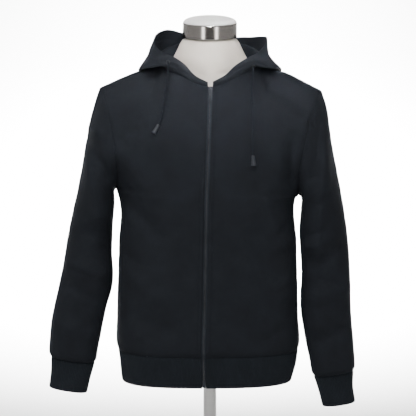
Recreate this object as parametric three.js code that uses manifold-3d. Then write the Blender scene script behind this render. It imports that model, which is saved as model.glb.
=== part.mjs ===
// A zip-up hoodie worn by a limbless dress form on a short stand.
// Units are millimetres, +Z is up and the front of the garment faces -Y.
// The origin is the centre of the base's underside. Heights in the tables are above the hem.
import * as THREE from 'three';
import { mergeVertices } from 'three/addons/utils/BufferGeometryUtils.js';
import Module from 'manifold-3d';

const wasm = await Module();
wasm.setup();

const { Vector3 } = THREE;
const up = new Vector3(0, 0, 1);
const left = -1;
const right = 1;

// Driving dimensions
const hemHeight = 210;
const clothThickness = 2.4;
const seamPull = 0.3; // how far each cloth edge stops short of its seam line
const bandTop = 66;
const hoodSeamPull = 0.8;
const armpitLevel = 407; // row of the body grid that meets both armpits
const zipTop = 648;
const napeHeight = 692;
const bodySquareness = 2.7;
const sleeveSquareness = 2.3;
const zipHalfGap = 5.2;
const ribHeight = 1;

// Grid sizes of the cloth walls
const sideRows = 11;
const armholeRows = 9;
const frontNeckColumns = 8;
const backNeckColumns = 7;
const shoulderColumns = 5;
const hoodRows = 13;
const sleeveStep = 27;
const bandRibs = 110;
const cuffRibs = 30;
const columnsPerInnerStep = 4; // outer rib columns that share one step of the plain inside

// The body, up the zip and the middle of the back
const middleRows = [
  { z: 0, zip: -12, front: -117, back: 112 },
  { z: 33, zip: -13, front: -120, back: 115 },
  { z: 66, zip: -13.5, front: -121, back: 116 },
  { z: 82, zip: -13.5, front: -126, back: 120 },
  { z: 130, zip: -12.5, front: -126, back: 119 },
  { z: 220, zip: -10.5, front: -123, back: 111 },
  { z: 305, zip: -9, front: -121, back: 108 },
  { z: 407, zip: -7, front: -121, back: 115 },
  { z: 480, zip: -4.5, front: -118, back: 119 },
  { z: 550, zip: -2, front: -112, back: 116 },
  { z: 610, zip: 0, front: -107, back: 105 },
  { z: 648, zip: 1, front: -104, back: 93 },
  { z: 692, zip: 1, front: -100, back: 76 },
];

// The body's outline at the side seams
const sideSeamRows = [
  { z: 0, left: -188, right: 175, seam: -2 },
  { z: 33, left: -192, right: 184, seam: -1 },
  { z: 66, left: -196, right: 189, seam: 0 },
  { z: 82, left: -201, right: 193, seam: 0 },
  { z: 130, left: -200, right: 190, seam: 0 },
  { z: 220, left: -197, right: 187, seam: 1 },
  { z: 305, left: -194, right: 185, seam: 3 },
  { z: 352, left: -190, right: 179, seam: 5 },
  { z: 385, left: -192, right: 179, seam: 7 },
  { z: 414, left: -200, right: 189, seam: 8 },
];

const corners = {
  [left]: {
    armpit: new Vector3(-200, 8, 414),
    shoulder: new Vector3(-234, 2, 633),
    neck: new Vector3(-105, 0, 684),
  },
  [right]: {
    armpit: new Vector3(189, 8, 400),
    shoulder: new Vector3(238, 2, 626),
    neck: new Vector3(105, 0, 685),
  },
};

// The armhole, from the armpit up to the shoulder point: inset is towards the middle of the body
const armholeTable = {
  front: [
    { rise: 0.09, inset: 4, y: -42 },
    { rise: 0.3, inset: 12, y: -76 },
    { rise: 0.57, inset: 13, y: -82 },
    { rise: 0.83, inset: 8, y: -54 },
  ],
  back: [
    { rise: 0.09, inset: 1, y: 56 },
    { rise: 0.32, inset: 5, y: 88 },
    { rise: 0.6, inset: 8, y: 92 },
    { rise: 0.84, inset: 6, y: 62 },
  ],
};

const neckTable = {
  front: [
    { x: 33, y: -98, z: 656 },
    { x: 57, y: -85, z: 667 },
    { x: 87, y: -54, z: 675 },
  ],
  back: [
    { x: 92, y: 40, z: 689 },
    { x: 56, y: 66, z: 692 },
  ],
};

// How the body's surface goes over from the shape of the ring to that of the neck and shoulders
const yokeRows = [
  { rise: 0, ring: 1, yoke: 0 },
  { rise: 0.12, ring: 0.68, yoke: 0 },
  { rise: 0.32, ring: 0.36, yoke: 0.02 },
  { rise: 0.55, ring: 0.22, yoke: 0.12 },
  { rise: 0.8, ring: 0.1, yoke: 0.42 },
  { rise: 1, ring: 0, yoke: 1 },
];

// Sleeve sections: their outer and inner points in the front view, and their depth
const sleeveRows = {
  [left]: [
    { outX: -234, outZ: 633, inX: -200, inZ: 414, y: 5, deep: 84 },
    { outX: -247, outZ: 592, inX: -204, inZ: 411, y: 4, deep: 84 },
    { outX: -259, outZ: 540, inX: -206, inZ: 407, y: 3, deep: 83 },
    { outX: -271, outZ: 470, inX: -206, inZ: 399, y: 1, deep: 80 },
    { outX: -287, outZ: 396, inX: -205, inZ: 378, y: -1, deep: 76 },
    { outX: -297, outZ: 345, inX: -209, inZ: 333, y: -3, deep: 71 },
    { outX: -308, outZ: 288, inX: -212, inZ: 274, y: -5, deep: 64 },
    { outX: -319, outZ: 230, inX: -210, inZ: 214, y: -8, deep: 57 },
    { outX: -331, outZ: 178, inX: -223, inZ: 160, y: -12, deep: 52 },
    { outX: -339, outZ: 136, inX: -232, inZ: 120, y: -16, deep: 48 },
    { outX: -344, outZ: 82, inX: -243, inZ: 66, y: -21, deep: 44 },
    { outX: -345, outZ: 62, inX: -246, inZ: 47, y: -23, deep: 41 },
    { outX: -341, outZ: 52, inX: -250, inZ: 39, y: -24, deep: 34 },
  ],
  [right]: [
    { outX: 238, outZ: 626, inX: 189, inZ: 400, y: 5, deep: 84 },
    { outX: 249, outZ: 580, inX: 194, inZ: 398, y: 4, deep: 84 },
    { outX: 257, outZ: 530, inX: 197, inZ: 394, y: 3, deep: 83 },
    { outX: 270, outZ: 460, inX: 198, inZ: 387, y: 1, deep: 80 },
    { outX: 283, outZ: 388, inX: 197, inZ: 373, y: -1, deep: 76 },
    { outX: 291, outZ: 338, inX: 193, inZ: 326, y: -3, deep: 71 },
    { outX: 297, outZ: 290, inX: 196, inZ: 280, y: -5, deep: 65 },
    { outX: 301, outZ: 236, inX: 198, inZ: 226, y: -9, deep: 58 },
    { outX: 303, outZ: 165, inX: 197, inZ: 155, y: -14, deep: 52 },
    { outX: 306, outZ: 110, inX: 205, inZ: 98, y: -19, deep: 48 },
    { outX: 310, outZ: 62, inX: 215, inZ: 49, y: -23, deep: 44 },
    { outX: 312, outZ: 32, inX: 221, inZ: 19, y: -25, deep: 41 },
    { outX: 309, outZ: 22, inX: 226, inZ: 10, y: -26, deep: 34 },
  ],
};

const cuffRows = {
  [left]: [
    { outX: -340, outZ: 51.6, inX: -250, inZ: 38.6, y: -24, deep: 33 },
    { outX: -341, outZ: 16, inX: -260, inZ: 4, y: -26, deep: 30 },
    { outX: -345, outZ: -14, inX: -267, inZ: -26, y: -28, deep: 30 },
  ],
  [right]: [
    { outX: 308, outZ: 21.6, inX: 226, inZ: 9.6, y: -26, deep: 33 },
    { outX: 307, outZ: -14, inX: 237, inZ: -24, y: -28, deep: 30 },
    { outX: 312, outZ: -46, inX: 245, inZ: -55, y: -30, deep: 30 },
  ],
};

// The hood round the neck: angle 0 is the zip and 180 the centre seam.
// From its neck seam the cloth rises to a roll, lies on the shoulders, turns up at low and ends at the rim.
const hoodCentreY = -10;
const hoodUnderRows = [
  { angle: 0, rollR: 94.6, rollZ: 649.6, underR: 95, underZ: 651, lowR: 95.2, lowZ: 652.5 },
  { angle: 21, rollR: 94.6, rollZ: 659.8, underR: 94.9, underZ: 662.4, lowR: 94.8, lowZ: 665 },
  { angle: 37, rollR: 95, rollZ: 672, underR: 96, underZ: 676, lowR: 96.5, lowZ: 681 },
  { angle: 60, rollR: 99.5, rollZ: 680, underR: 103, underZ: 684, lowR: 106.5, lowZ: 689 },
  { angle: 77, rollR: 103, rollZ: 693, underR: 114, underZ: 689, lowR: 132, lowZ: 680 },
  { angle: 92, rollR: 106, rollZ: 698, underR: 128, underZ: 685, lowR: 149, lowZ: 674 },
  { angle: 105, rollR: 109, rollZ: 703, underR: 132, underZ: 682, lowR: 157, lowZ: 664 },
  { angle: 124, rollR: 109, rollZ: 711, underR: 133, underZ: 674, lowR: 160, lowZ: 632 },
  { angle: 139, rollR: 104, rollZ: 717, underR: 132, underZ: 660, lowR: 157, lowZ: 596 },
  { angle: 154, rollR: 98, rollZ: 721, underR: 130, underZ: 646, lowR: 153, lowZ: 566 },
  { angle: 180, rollR: 92, rollZ: 723, underR: 128, underZ: 636, lowR: 149, lowZ: 548 },
];
const hoodOuterRows = {
  [left]: [
    { angle: 0, wallR: 95.2, wallZ: 654, rimR: 95, rimZ: 656 },
    { angle: 21, wallR: 93.5, wallZ: 668, rimR: 91, rimZ: 671 },
    { angle: 37, wallR: 93.5, wallZ: 688.5, rimR: 89.5, rimZ: 692 },
    { angle: 60, wallR: 104, wallZ: 699, rimR: 91, rimZ: 705 },
    { angle: 77, wallR: 125, wallZ: 696, rimR: 99, rimZ: 708 },
    { angle: 92, wallR: 131, wallZ: 699, rimR: 114, rimZ: 722 },
    { angle: 105, wallR: 136, wallZ: 703, rimR: 121, rimZ: 734 },
    { angle: 124, wallR: 147, wallZ: 700, rimR: 129, rimZ: 743 },
    { angle: 139, wallR: 157, wallZ: 688, rimR: 135, rimZ: 745 },
    { angle: 154, wallR: 163, wallZ: 672, rimR: 135, rimZ: 737 },
    { angle: 180, wallR: 170, wallZ: 652, rimR: 128, rimZ: 726 },
  ],
  [right]: [
    { angle: 0, wallR: 95.2, wallZ: 654, rimR: 95, rimZ: 656 },
    { angle: 21, wallR: 93.5, wallZ: 668, rimR: 91, rimZ: 671 },
    { angle: 37, wallR: 94, wallZ: 686, rimR: 90, rimZ: 690 },
    { angle: 60, wallR: 106, wallZ: 697, rimR: 95, rimZ: 704 },
    { angle: 77, wallR: 118, wallZ: 694, rimR: 102, rimZ: 709 },
    { angle: 92, wallR: 125, wallZ: 698, rimR: 114, rimZ: 723 },
    { angle: 105, wallR: 130, wallZ: 702, rimR: 125, rimZ: 736 },
    { angle: 124, wallR: 143, wallZ: 696, rimR: 133, rimZ: 734 },
    { angle: 139, wallR: 157, wallZ: 682, rimR: 134, rimZ: 729 },
    { angle: 154, wallR: 163, wallZ: 668, rimR: 133, rimZ: 725 },
    { angle: 180, wallR: 170, wallZ: 652, rimR: 128, rimZ: 726 },
  ],
};
const hoodHemWidth = 26;
const hoodHemRaise = 1;

// The largest folds: soft ridges (high above 0) and troughs along a line of the front or back view
const foldRows = [
  { face: 'front', x1: -266, z1: 541, x2: -240, z2: 543, wide: 18, high: 6 },
  { face: 'front', x1: -265, z1: 516, x2: -214, z2: 455, wide: 18, high: -8 },
  { face: 'front', x1: -262, z1: 492, x2: -238, z2: 366, wide: 18, high: 8 },
  { face: 'front', x1: -262, z1: 330, x2: -226, z2: 300, wide: 18, high: -6 },
  { face: 'front', x1: -300, z1: 262, x2: -236, z2: 236, wide: 18, high: 6 },
  { face: 'front', x1: -310, z1: 214, x2: -250, z2: 176, wide: 18, high: -6 },
  { face: 'front', x1: -324, z1: 130, x2: -262, z2: 104, wide: 18, high: 6 },
  { face: 'front', x1: -152, z1: 572, x2: -184, z2: 536, wide: 18, high: -6 },
  { face: 'front', x1: -186, z1: 500, x2: -120, z2: 420, wide: 20, high: 6 },
  { face: 'front', x1: -180, z1: 398, x2: -110, z2: 330, wide: 18, high: -6 },
  { face: 'front', x1: -176, z1: 250, x2: -120, z2: 196, wide: 20, high: 6 },
  { face: 'front', x1: -160, z1: 150, x2: -92, z2: 124, wide: 18, high: -4 },
  { face: 'front', x1: 124, z1: 632, x2: 214, z2: 584, wide: 18, high: -9 },
  { face: 'front', x1: 160, z1: 662, x2: 238, z2: 598, wide: 18, high: 6 },
  { face: 'front', x1: 252, z1: 574, x2: 228, z2: 300, wide: 18, high: 8 },
  { face: 'front', x1: 228, z1: 560, x2: 218, z2: 452, wide: 18, high: -8 },
  { face: 'front', x1: 288, z1: 300, x2: 228, z2: 262, wide: 18, high: -6 },
  { face: 'front', x1: 290, z1: 206, x2: 224, z2: 186, wide: 18, high: 6 },
  { face: 'front', x1: 296, z1: 120, x2: 232, z2: 92, wide: 18, high: -6 },
  { face: 'front', x1: 176, z1: 532, x2: 174, z2: 446, wide: 18, high: -8 },
  { face: 'front', x1: 118, z1: 418, x2: 152, z2: 316, wide: 18, high: 6 },
  { face: 'front', x1: 160, z1: 300, x2: 162, z2: 200, wide: 18, high: 6 },
  { face: 'front', x1: 96, z1: 330, x2: 120, z2: 240, wide: 20, high: -4 },
  { face: 'back', x1: -186, z1: 520, x2: -120, z2: 420, wide: 20, high: 8 },
  { face: 'back', x1: 180, z1: 530, x2: 112, z2: 430, wide: 20, high: 8 },
  { face: 'back', x1: -150, z1: 400, x2: -60, z2: 330, wide: 20, high: -6 },
  { face: 'back', x1: 156, z1: 380, x2: 60, z2: 300, wide: 20, high: -6 },
  { face: 'back', x1: -140, z1: 270, x2: -40, z2: 220, wide: 20, high: 6 },
  { face: 'back', x1: 146, z1: 250, x2: 40, z2: 200, wide: 20, high: 6 },
  { face: 'back', x1: -60, z1: 140, x2: 90, z2: 120, wide: 22, high: 6 },
  { face: 'back', x1: -262, z1: 500, x2: -236, z2: 380, wide: 18, high: 8 },
  { face: 'back', x1: 262, z1: 500, x2: 240, z2: 380, wide: 18, high: 8 },
  { face: 'back', x1: -300, z1: 270, x2: -232, z2: 230, wide: 18, high: -6 },
  { face: 'back', x1: 292, z1: 260, x2: 224, z2: 224, wide: 18, high: -6 },
];
const foldFade = 34; // distance from the zip within which the cloth stays flat

// The dress form inside the cloth: half width, front and back of its sections
const formRows = [
  { z: 45, half: 160, front: -98, back: 92, square: 2.4 },
  { z: 52, half: 168, front: -106, back: 100, square: 2.4 },
  { z: 150, half: 172, front: -110, back: 102, square: 2.4 },
  { z: 260, half: 160, front: -106, back: 92, square: 2.3 },
  { z: 350, half: 165, front: -108, back: 94, square: 2.3 },
  { z: 430, half: 178, front: -108, back: 102, square: 2.3 },
  { z: 500, half: 186, front: -104, back: 105, square: 2.3 },
  { z: 560, half: 190, front: -97, back: 102, square: 2.2 },
  { z: 600, half: 190, front: -88, back: 88, square: 1.8 },
  { z: 624, half: 186, front: -82, back: 78, square: 1.5 },
  { z: 638, half: 181, front: -76, back: 72, square: 1.25 },
  { z: 648, half: 167, front: -70, back: 68, square: 1.15 },
  { z: 656, half: 149, front: -68, back: 65, square: 1.12 },
  { z: 664, half: 125, front: -66, back: 63, square: 1.15 },
  { z: 671, half: 103, front: -65, back: 62, square: 1.3 },
  { z: 679, half: 89, front: -65, back: 61, square: 1.8 },
  { z: 700, half: 77, front: -65, back: 60, square: 2 },
  { z: 722, half: 66, front: -61, back: 59, square: 2 },
  { z: 740.7, half: 58, front: -58, back: 58, square: 2 },
];
const formColumns = 28;
const formClearance = 4.6; // level distance from the form to the cloth's inside, at the least
const ringRadius = 58;
const ringBottom = 741;
const ringHeight = 30;
const capHeight = 15;
const poleRadius = 14;
const baseRadius = 145;
const baseThickness = 9;
const touchGap = 0.3;

// Zip
const tapeThickness = 1;
const tapeReach = 18;
const chainHalfWidth = 2.9;
const chainFront = -0.2;
const chainBack = 2.4;
const tapeMiddle = 2.1;
const sliderBottom = 634.5;
const sliderTop = 647;
const sliderHalfWidth = 3.9;
const plateGap = 0.35;
const frontPlate = 1.4;
const backPlate = 1;
const hingeHeight = 642;
const hingeOut = 1.35; // from the slider's face to the middle of the pull's bar
const pullLength = 23;
const pullThickness = 1.2;
const pullHalfWidth = 3.1;

// Drawcords: the middle line of each free end, from its eyelet down the chest
const cordRadius = 2.5;
const eyelets = {
  [left]: { x: -88, z: 695 },
  [right]: { x: 91, z: 686 },
};
const cordRoutes = {
  [left]: [
    [-88, -74.4, 695], [-88, -76.6, 692.4], [-88, -78, 689], [-88.2, -78.6, 684], [-88.8, -78.8, 676],
    [-89.6, -78.9, 667], [-90.6, -79, 658], [-91.8, -79.2, 649], [-93, -79.8, 640], [-94.4, -81.4, 631],
    [-95.8, -84.2, 622], [-97.2, -87.4, 613], [-98.8, -90.6, 604], [-100.8, -94, 594], [-103.2, -97.4, 584],
    [-106, -100.4, 575], [-108.1, -102.4, 568],
  ],
  [right]: [
    [91, -73.2, 686], [91, -75.4, 683.4], [91, -76.8, 680], [90.8, -77.4, 675], [90.4, -77.6, 667],
    [89.8, -77.8, 659], [89.2, -78.1, 651], [88.8, -79, 642], [88.9, -81, 633], [89.4, -83.8, 624],
    [90.2, -88.2, 615], [91, -92, 606], [91.6, -95.2, 597], [91.9, -98.2, 588], [91.9, -101.2, 579],
    [91.7, -104.2, 570], [91.5, -106.6, 561], [91.1, -109.2, 552], [90.7, -111.6, 543], [90.5, -113.4, 534],
    [90.6, -114.6, 525], [90.8, -115.6, 516], [91.1, -116.9, 503.4],
  ],
};
const cordEnds = {
  [left]: { top: [-108.6, -102.8, 566.9], foot: [-118.5, -108.4, 549] },
  [right]: { top: [91.2, -117.2, 503], foot: [92.4, -119.6, 481.5] },
};
const cordStep = 8;
const eyeletInner = 3;
const eyeletOuter = 5.2;
const eyeletThickness = 1.2;
const eyeletLift = 0.6;

// Reads one column of a table as a smooth curve through its rows
function column(rows, key, name) {
  const last = rows.length - 1;
  const slope = (k) => {
    const before = rows[Math.max(k - 1, 0)];
    const after = rows[Math.min(k + 1, last)];
    return (after[name] - before[name]) / (after[key] - before[key]);
  };
  return (at) => {
    if (at <= rows[0][key]) return rows[0][name];
    if (at >= rows[last][key]) return rows[last][name];
    let i = 0;
    while (at > rows[i + 1][key]) i += 1;
    const span = rows[i + 1][key] - rows[i][key];
    const t = (at - rows[i][key]) / span;
    const rise = rows[i + 1][name] - rows[i][name];
    const startSlope = slope(i) * span;
    const endSlope = slope(i + 1) * span;
    const bend = t * (1 - t);
    return rows[i][name] + rise * t * t * (3 - 2 * t) + bend * ((1 - t) * startSlope - t * endSlope);
  };
}

// A smooth path through points; its fraction is measured along the chords
function path(points) {
  let along = 0;
  const rows = points.map((p, k) => {
    if (k > 0) along += p.distanceTo(points[k - 1]);
    return { along, x: p.x, y: p.y, z: p.z };
  });
  const [x, y, z] = ['x', 'y', 'z'].map((name) => column(rows, 'along', name));
  return (fraction) => new Vector3(x(fraction * along), y(fraction * along), z(fraction * along));
}

const middle = {
  zip: column(middleRows, 'z', 'zip'),
  front: column(middleRows, 'z', 'front'),
  back: column(middleRows, 'z', 'back'),
};
const outline = {
  [left]: column(sideSeamRows, 'z', 'left'),
  [right]: column(sideSeamRows, 'z', 'right'),
};
const seamDepth = column(sideSeamRows, 'z', 'seam');

function centrePoint(side, face, z) {
  if (face === 'back') return new Vector3(middle.zip(z), middle.back(z), z);
  return new Vector3(middle.zip(z) + side * zipHalfGap, middle.front(z), z);
}

function sidePoint(side, z) {
  return new Vector3(outline[side](z), seamDepth(z), z);
}

// A quarter of the body's squarish ring, from the centre line to the side seam
function quarterRing(side, face, z) {
  const start = centrePoint(side, face, z);
  const end = sidePoint(side, z);
  const steps = 20;
  const points = [];
  for (let k = 0; k <= steps; k += 1) {
    const turn = (k / steps) * (Math.PI / 2);
    const across = Math.sin(turn) ** (2 / bodySquareness);
    const deep = k === steps ? 0 : Math.cos(turn) ** (2 / bodySquareness);
    points.push(new Vector3(start.x + (end.x - start.x) * across, end.y + (start.y - end.y) * deep, z));
  }
  return path(points);
}

function armhole(side, face) {
  const { armpit, shoulder } = corners[side];
  const points = armholeTable[face].map(({ rise, inset, y }) => {
    const p = new Vector3().lerpVectors(armpit, shoulder, rise);
    return new Vector3(p.x - side * inset, y, p.z);
  });
  return path([armpit, ...points, shoulder]);
}

function neckline(side, face) {
  const start = centrePoint(side, face, face === 'front' ? zipTop : napeHeight);
  const points = neckTable[face].map(({ x, y, z }) => new Vector3(side * x, y, z));
  if (face === 'back') points.reverse();
  return path([start, ...points, corners[side].neck]);
}

function shoulderSeam(side) {
  const { neck, shoulder } = corners[side];
  const crest = new Vector3().lerpVectors(neck, shoulder, 0.47);
  crest.y += 2;
  crest.z += 3;
  return path([neck, crest, shoulder]);
}

const ringShare = column(yokeRows, 'rise', 'ring');
const yokeShare = column(yokeRows, 'rise', 'yoke');

// Half of the body's front or back, as a surface between its four seams.
// Columns run from the centre line to the side, rows from the band up to the neck and shoulder.
function halfPanel(side, face) {
  const neckColumns = face === 'front' ? frontNeckColumns : backNeckColumns;
  const columns = neckColumns + shoulderColumns;
  const rows = sideRows + armholeRows;
  const centreTop = face === 'front' ? zipTop : napeHeight;
  const ring = quarterRing(side, face, bandTop);
  const hole = armhole(side, face);
  const neck = neckline(side, face);
  const shoulder = shoulderSeam(side);
  const armpitZ = corners[side].armpit.z;
  const bottom = (j) => ring(j / columns);
  const top = (j) => {
    if (j <= neckColumns) return neck(j / neckColumns);
    return shoulder((j - neckColumns) / shoulderColumns);
  };
  const centre = (i) => {
    const below = ((armpitLevel - bandTop) * i) / sideRows;
    const above = ((centreTop - armpitLevel) * (i - sideRows)) / armholeRows;
    return centrePoint(side, face, i <= sideRows ? bandTop + below : armpitLevel + above);
  };
  const edge = (i) => {
    if (i <= sideRows) return sidePoint(side, bandTop + ((armpitZ - bandTop) * i) / sideRows);
    return hole((i - sideRows) / armholeRows);
  };
  const [bottomStart, bottomEnd, topStart, topEnd] = [bottom(0), bottom(columns), top(0), top(columns)];
  const surface = (i, j) => {
    if (i === rows) return top(j);
    const u = j / columns;
    const rise = Math.max(0, (i - sideRows) / armholeRows);
    const p = new Vector3().lerpVectors(centre(i), edge(i), u);
    if (j === columns) return p;
    const ringBulge = bottom(j).sub(new Vector3().lerpVectors(bottomStart, bottomEnd, u));
    const yokeBulge = top(j).sub(new Vector3().lerpVectors(topStart, topEnd, u));
    return p.addScaledVector(ringBulge, ringShare(rise)).addScaledVector(yokeBulge, yokeShare(rise));
  };
  return { rows, columns, neckColumns, surface };
}

// A sleeve's section through its outer and inner points; turn 0 is the outer side, 90 degrees the front
function sleeveSection(row, turn) {
  const outer = new Vector3(row.outX, row.y, row.outZ);
  const inner = new Vector3(row.inX, row.y, row.inZ);
  const power = 2 / sleeveSquareness;
  const across = Math.sign(Math.cos(turn)) * Math.abs(Math.cos(turn)) ** power;
  const deep = Math.sign(Math.sin(turn)) * Math.abs(Math.sin(turn)) ** power;
  const p = outer.clone().add(inner).multiplyScalar(0.5);
  p.addScaledVector(outer.sub(inner), across / 2);
  p.y -= row.deep * deep;
  return p;
}

// Adds the distance along the sleeve to each row, so that its columns can be read at any place
function sectionReader(rows) {
  let along = 0;
  const placed = rows.map((row, k) => {
    if (k > 0) {
      const before = rows[k - 1];
      const across = row.outX + row.inX - before.outX - before.inX;
      const down = row.outZ + row.inZ - before.outZ - before.inZ;
      along += Math.hypot(across, down) / 2;
    }
    return { ...row, along };
  });
  const names = ['outX', 'outZ', 'inX', 'inZ', 'y', 'deep'];
  const readers = names.map((name) => column(placed, 'along', name));
  const read = (at) => Object.fromEntries(names.map((name, k) => [name, readers[k](at)]));
  return { placed, read };
}

// Grids of points

function makeSheet(rowCount, columnCount, pointAt, closed = false) {
  const points = [];
  for (let i = 0; i <= rowCount; i += 1) {
    const row = [];
    for (let j = 0; j < (closed ? columnCount : columnCount + 1); j += 1) row.push(pointAt(i, j));
    points.push(row);
  }
  return { points, closed, turned: 1 };
}

function neighbour(sheet, i, j, stepRow, stepColumn) {
  const { points, closed } = sheet;
  const width = points[0].length;
  const row = Math.min(Math.max(i + stepRow, 0), points.length - 1);
  const wanted = j + stepColumn;
  return points[row][closed ? (wanted + width) % width : Math.min(Math.max(wanted, 0), width - 1)];
}

function gridNormal(sheet, i, j) {
  const across = neighbour(sheet, i, j, 0, 1).clone().sub(neighbour(sheet, i, j, 0, -1));
  const up = neighbour(sheet, i, j, 1, 0).clone().sub(neighbour(sheet, i, j, -1, 0));
  return across.cross(up).multiplyScalar(sheet.turned).normalize();
}

// Turns a sheet's normals to its outside, given one direction that the outside faces at one vertex
function faceOutside(sheet, i, j, direction) {
  sheet.turned = 1;
  if (gridNormal(sheet, i, j).dot(direction) < 0) sheet.turned = -1;
}

// Sheets that meet at a seam share their normals there, so that their walls end face to face
function shareNormals(sheets) {
  const sums = new Map();
  const keyOf = (p) => [p.x, p.y, p.z].map((value) => value.toFixed(3)).join(' ');
  sheets.forEach((sheet) => {
    sheet.normals = sheet.points.map((row, i) => row.map((_, j) => gridNormal(sheet, i, j)));
    sheet.points.forEach((row, i) => row.forEach((p, j) => {
      const key = keyOf(p);
      if (!sums.has(key)) sums.set(key, new Vector3());
      sums.get(key).add(sheet.normals[i][j]);
    }));
  });
  sheets.forEach((sheet) => {
    sheet.normals = sheet.points.map((row) => row.map((p) => sums.get(keyOf(p)).clone().normalize()));
  });
}

function foldHeight(p, normal) {
  let height = 0;
  foldRows.forEach(({ face, x1, z1, x2, z2, wide, high }) => {
    const facing = Math.max(0, face === 'front' ? -normal.y : normal.y);
    const length = Math.hypot(x2 - x1, z2 - z1);
    const along = ((p.x - x1) * (x2 - x1) + (p.z - z1) * (z2 - z1)) / length;
    const across = ((p.x - x1) * (z2 - z1) - (p.z - z1) * (x2 - x1)) / length;
    const past = Math.max(0, -along, along - length);
    height += high * Math.min(1, facing * 1.5) * Math.exp(-((across / wide) ** 2) - (past / wide) ** 2);
  });
  const fromZip = Math.abs(p.x - middle.zip(p.z));
  if (normal.y < 0) height *= Math.min(1, Math.max(0, (fromZip - zipHalfGap) / foldFade)) ** 2;
  return height;
}

function addFolds(sheet, keepRows = []) {
  sheet.points = sheet.points.map((row, i) => row.map((p, j) => {
    if (keepRows.includes(i)) return p;
    return p.clone().addScaledVector(sheet.normals[i][j], foldHeight(p, sheet.normals[i][j]));
  }));
}

// Stops each edge of a sheet short of its seam line
function pullEdges(sheet, distance = seamPull) {
  const { points, closed } = sheet;
  const lastRow = points.length - 1;
  const lastColumn = points[0].length - 1;
  const pulled = (p, towards) => p.clone().addScaledVector(towards.clone().sub(p).normalize(), distance);
  const moved = points.map((row) => row.slice());
  for (let j = 0; j <= lastColumn; j += 1) {
    moved[0][j] = pulled(points[0][j], points[1][j]);
    moved[lastRow][j] = pulled(points[lastRow][j], points[lastRow - 1][j]);
  }
  if (!closed) {
    for (let i = 0; i <= lastRow; i += 1) {
      moved[i][0] = moved[i][0].clone().add(pulled(points[i][0], points[i][1]).sub(points[i][0]));
      const inside = pulled(points[i][lastColumn], points[i][lastColumn - 1]);
      moved[i][lastColumn] = moved[i][lastColumn].clone().add(inside.sub(points[i][lastColumn]));
    }
  }
  sheet.points = moved;
}

// Makes the wall's end flat along a seam that lies in a plane
function flattenNormals(sheet, i, axis) {
  sheet.normals[i] = sheet.normals[i].map((n) => n.clone().addScaledVector(axis, -n.dot(axis)).normalize());
}

// Closed meshes

function closedMesh(triangles) {
  const positions = triangles.flatMap((p) => [p.x, p.y, p.z]);
  let volume = 0;
  for (let k = 0; k < triangles.length; k += 3) {
    volume += triangles[k].dot(triangles[k + 1].clone().cross(triangles[k + 2]));
  }
  if (volume < 0) {
    for (let k = 0; k < positions.length; k += 9) {
      const second = positions.slice(k + 3, k + 6);
      for (let m = 0; m < 3; m += 1) {
        positions[k + 3 + m] = positions[k + 6 + m];
        positions[k + 6 + m] = second[m];
      }
    }
  }
  const geometry = new THREE.BufferGeometry();
  geometry.setAttribute('position', new THREE.Float32BufferAttribute(positions, 3));
  return geometry;
}

function quad(triangles, a, b, c, d) {
  triangles.push(a, b, c, a, c, d);
}

function clothWall(sheet, { thickness = clothThickness, raise = () => 0 } = {}) {
  const { points, normals, closed } = sheet;
  const offset = (distanceAt) => points.map((row, i) => row.map((p, j) => (
    p.clone().addScaledVector(normals[i][j], distanceAt(i, j))
  )));
  const outer = offset((i, j) => thickness / 2 + raise(i, j));
  const inner = offset(() => -thickness / 2);
  const lastRow = points.length - 1;
  const width = points[0].length;
  const steps = closed ? width : width - 1;
  const triangles = [];
  for (let j = 0; j < steps; j += 1) {
    const k = (j + 1) % width;
    for (let i = 0; i < lastRow; i += 1) {
      quad(triangles, outer[i][j], outer[i][k], outer[i + 1][k], outer[i + 1][j]);
      quad(triangles, inner[i][j], inner[i + 1][j], inner[i + 1][k], inner[i][k]);
    }
    quad(triangles, outer[0][k], outer[0][j], inner[0][j], inner[0][k]);
    quad(triangles, outer[lastRow][j], outer[lastRow][k], inner[lastRow][k], inner[lastRow][j]);
  }
  if (!closed) {
    for (let i = 0; i < lastRow; i += 1) {
      quad(triangles, outer[i][0], outer[i + 1][0], inner[i + 1][0], inner[i][0]);
      quad(triangles, outer[i + 1][steps], outer[i][steps], inner[i][steps], inner[i + 1][steps]);
    }
  }
  return closedMesh(triangles);
}

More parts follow.
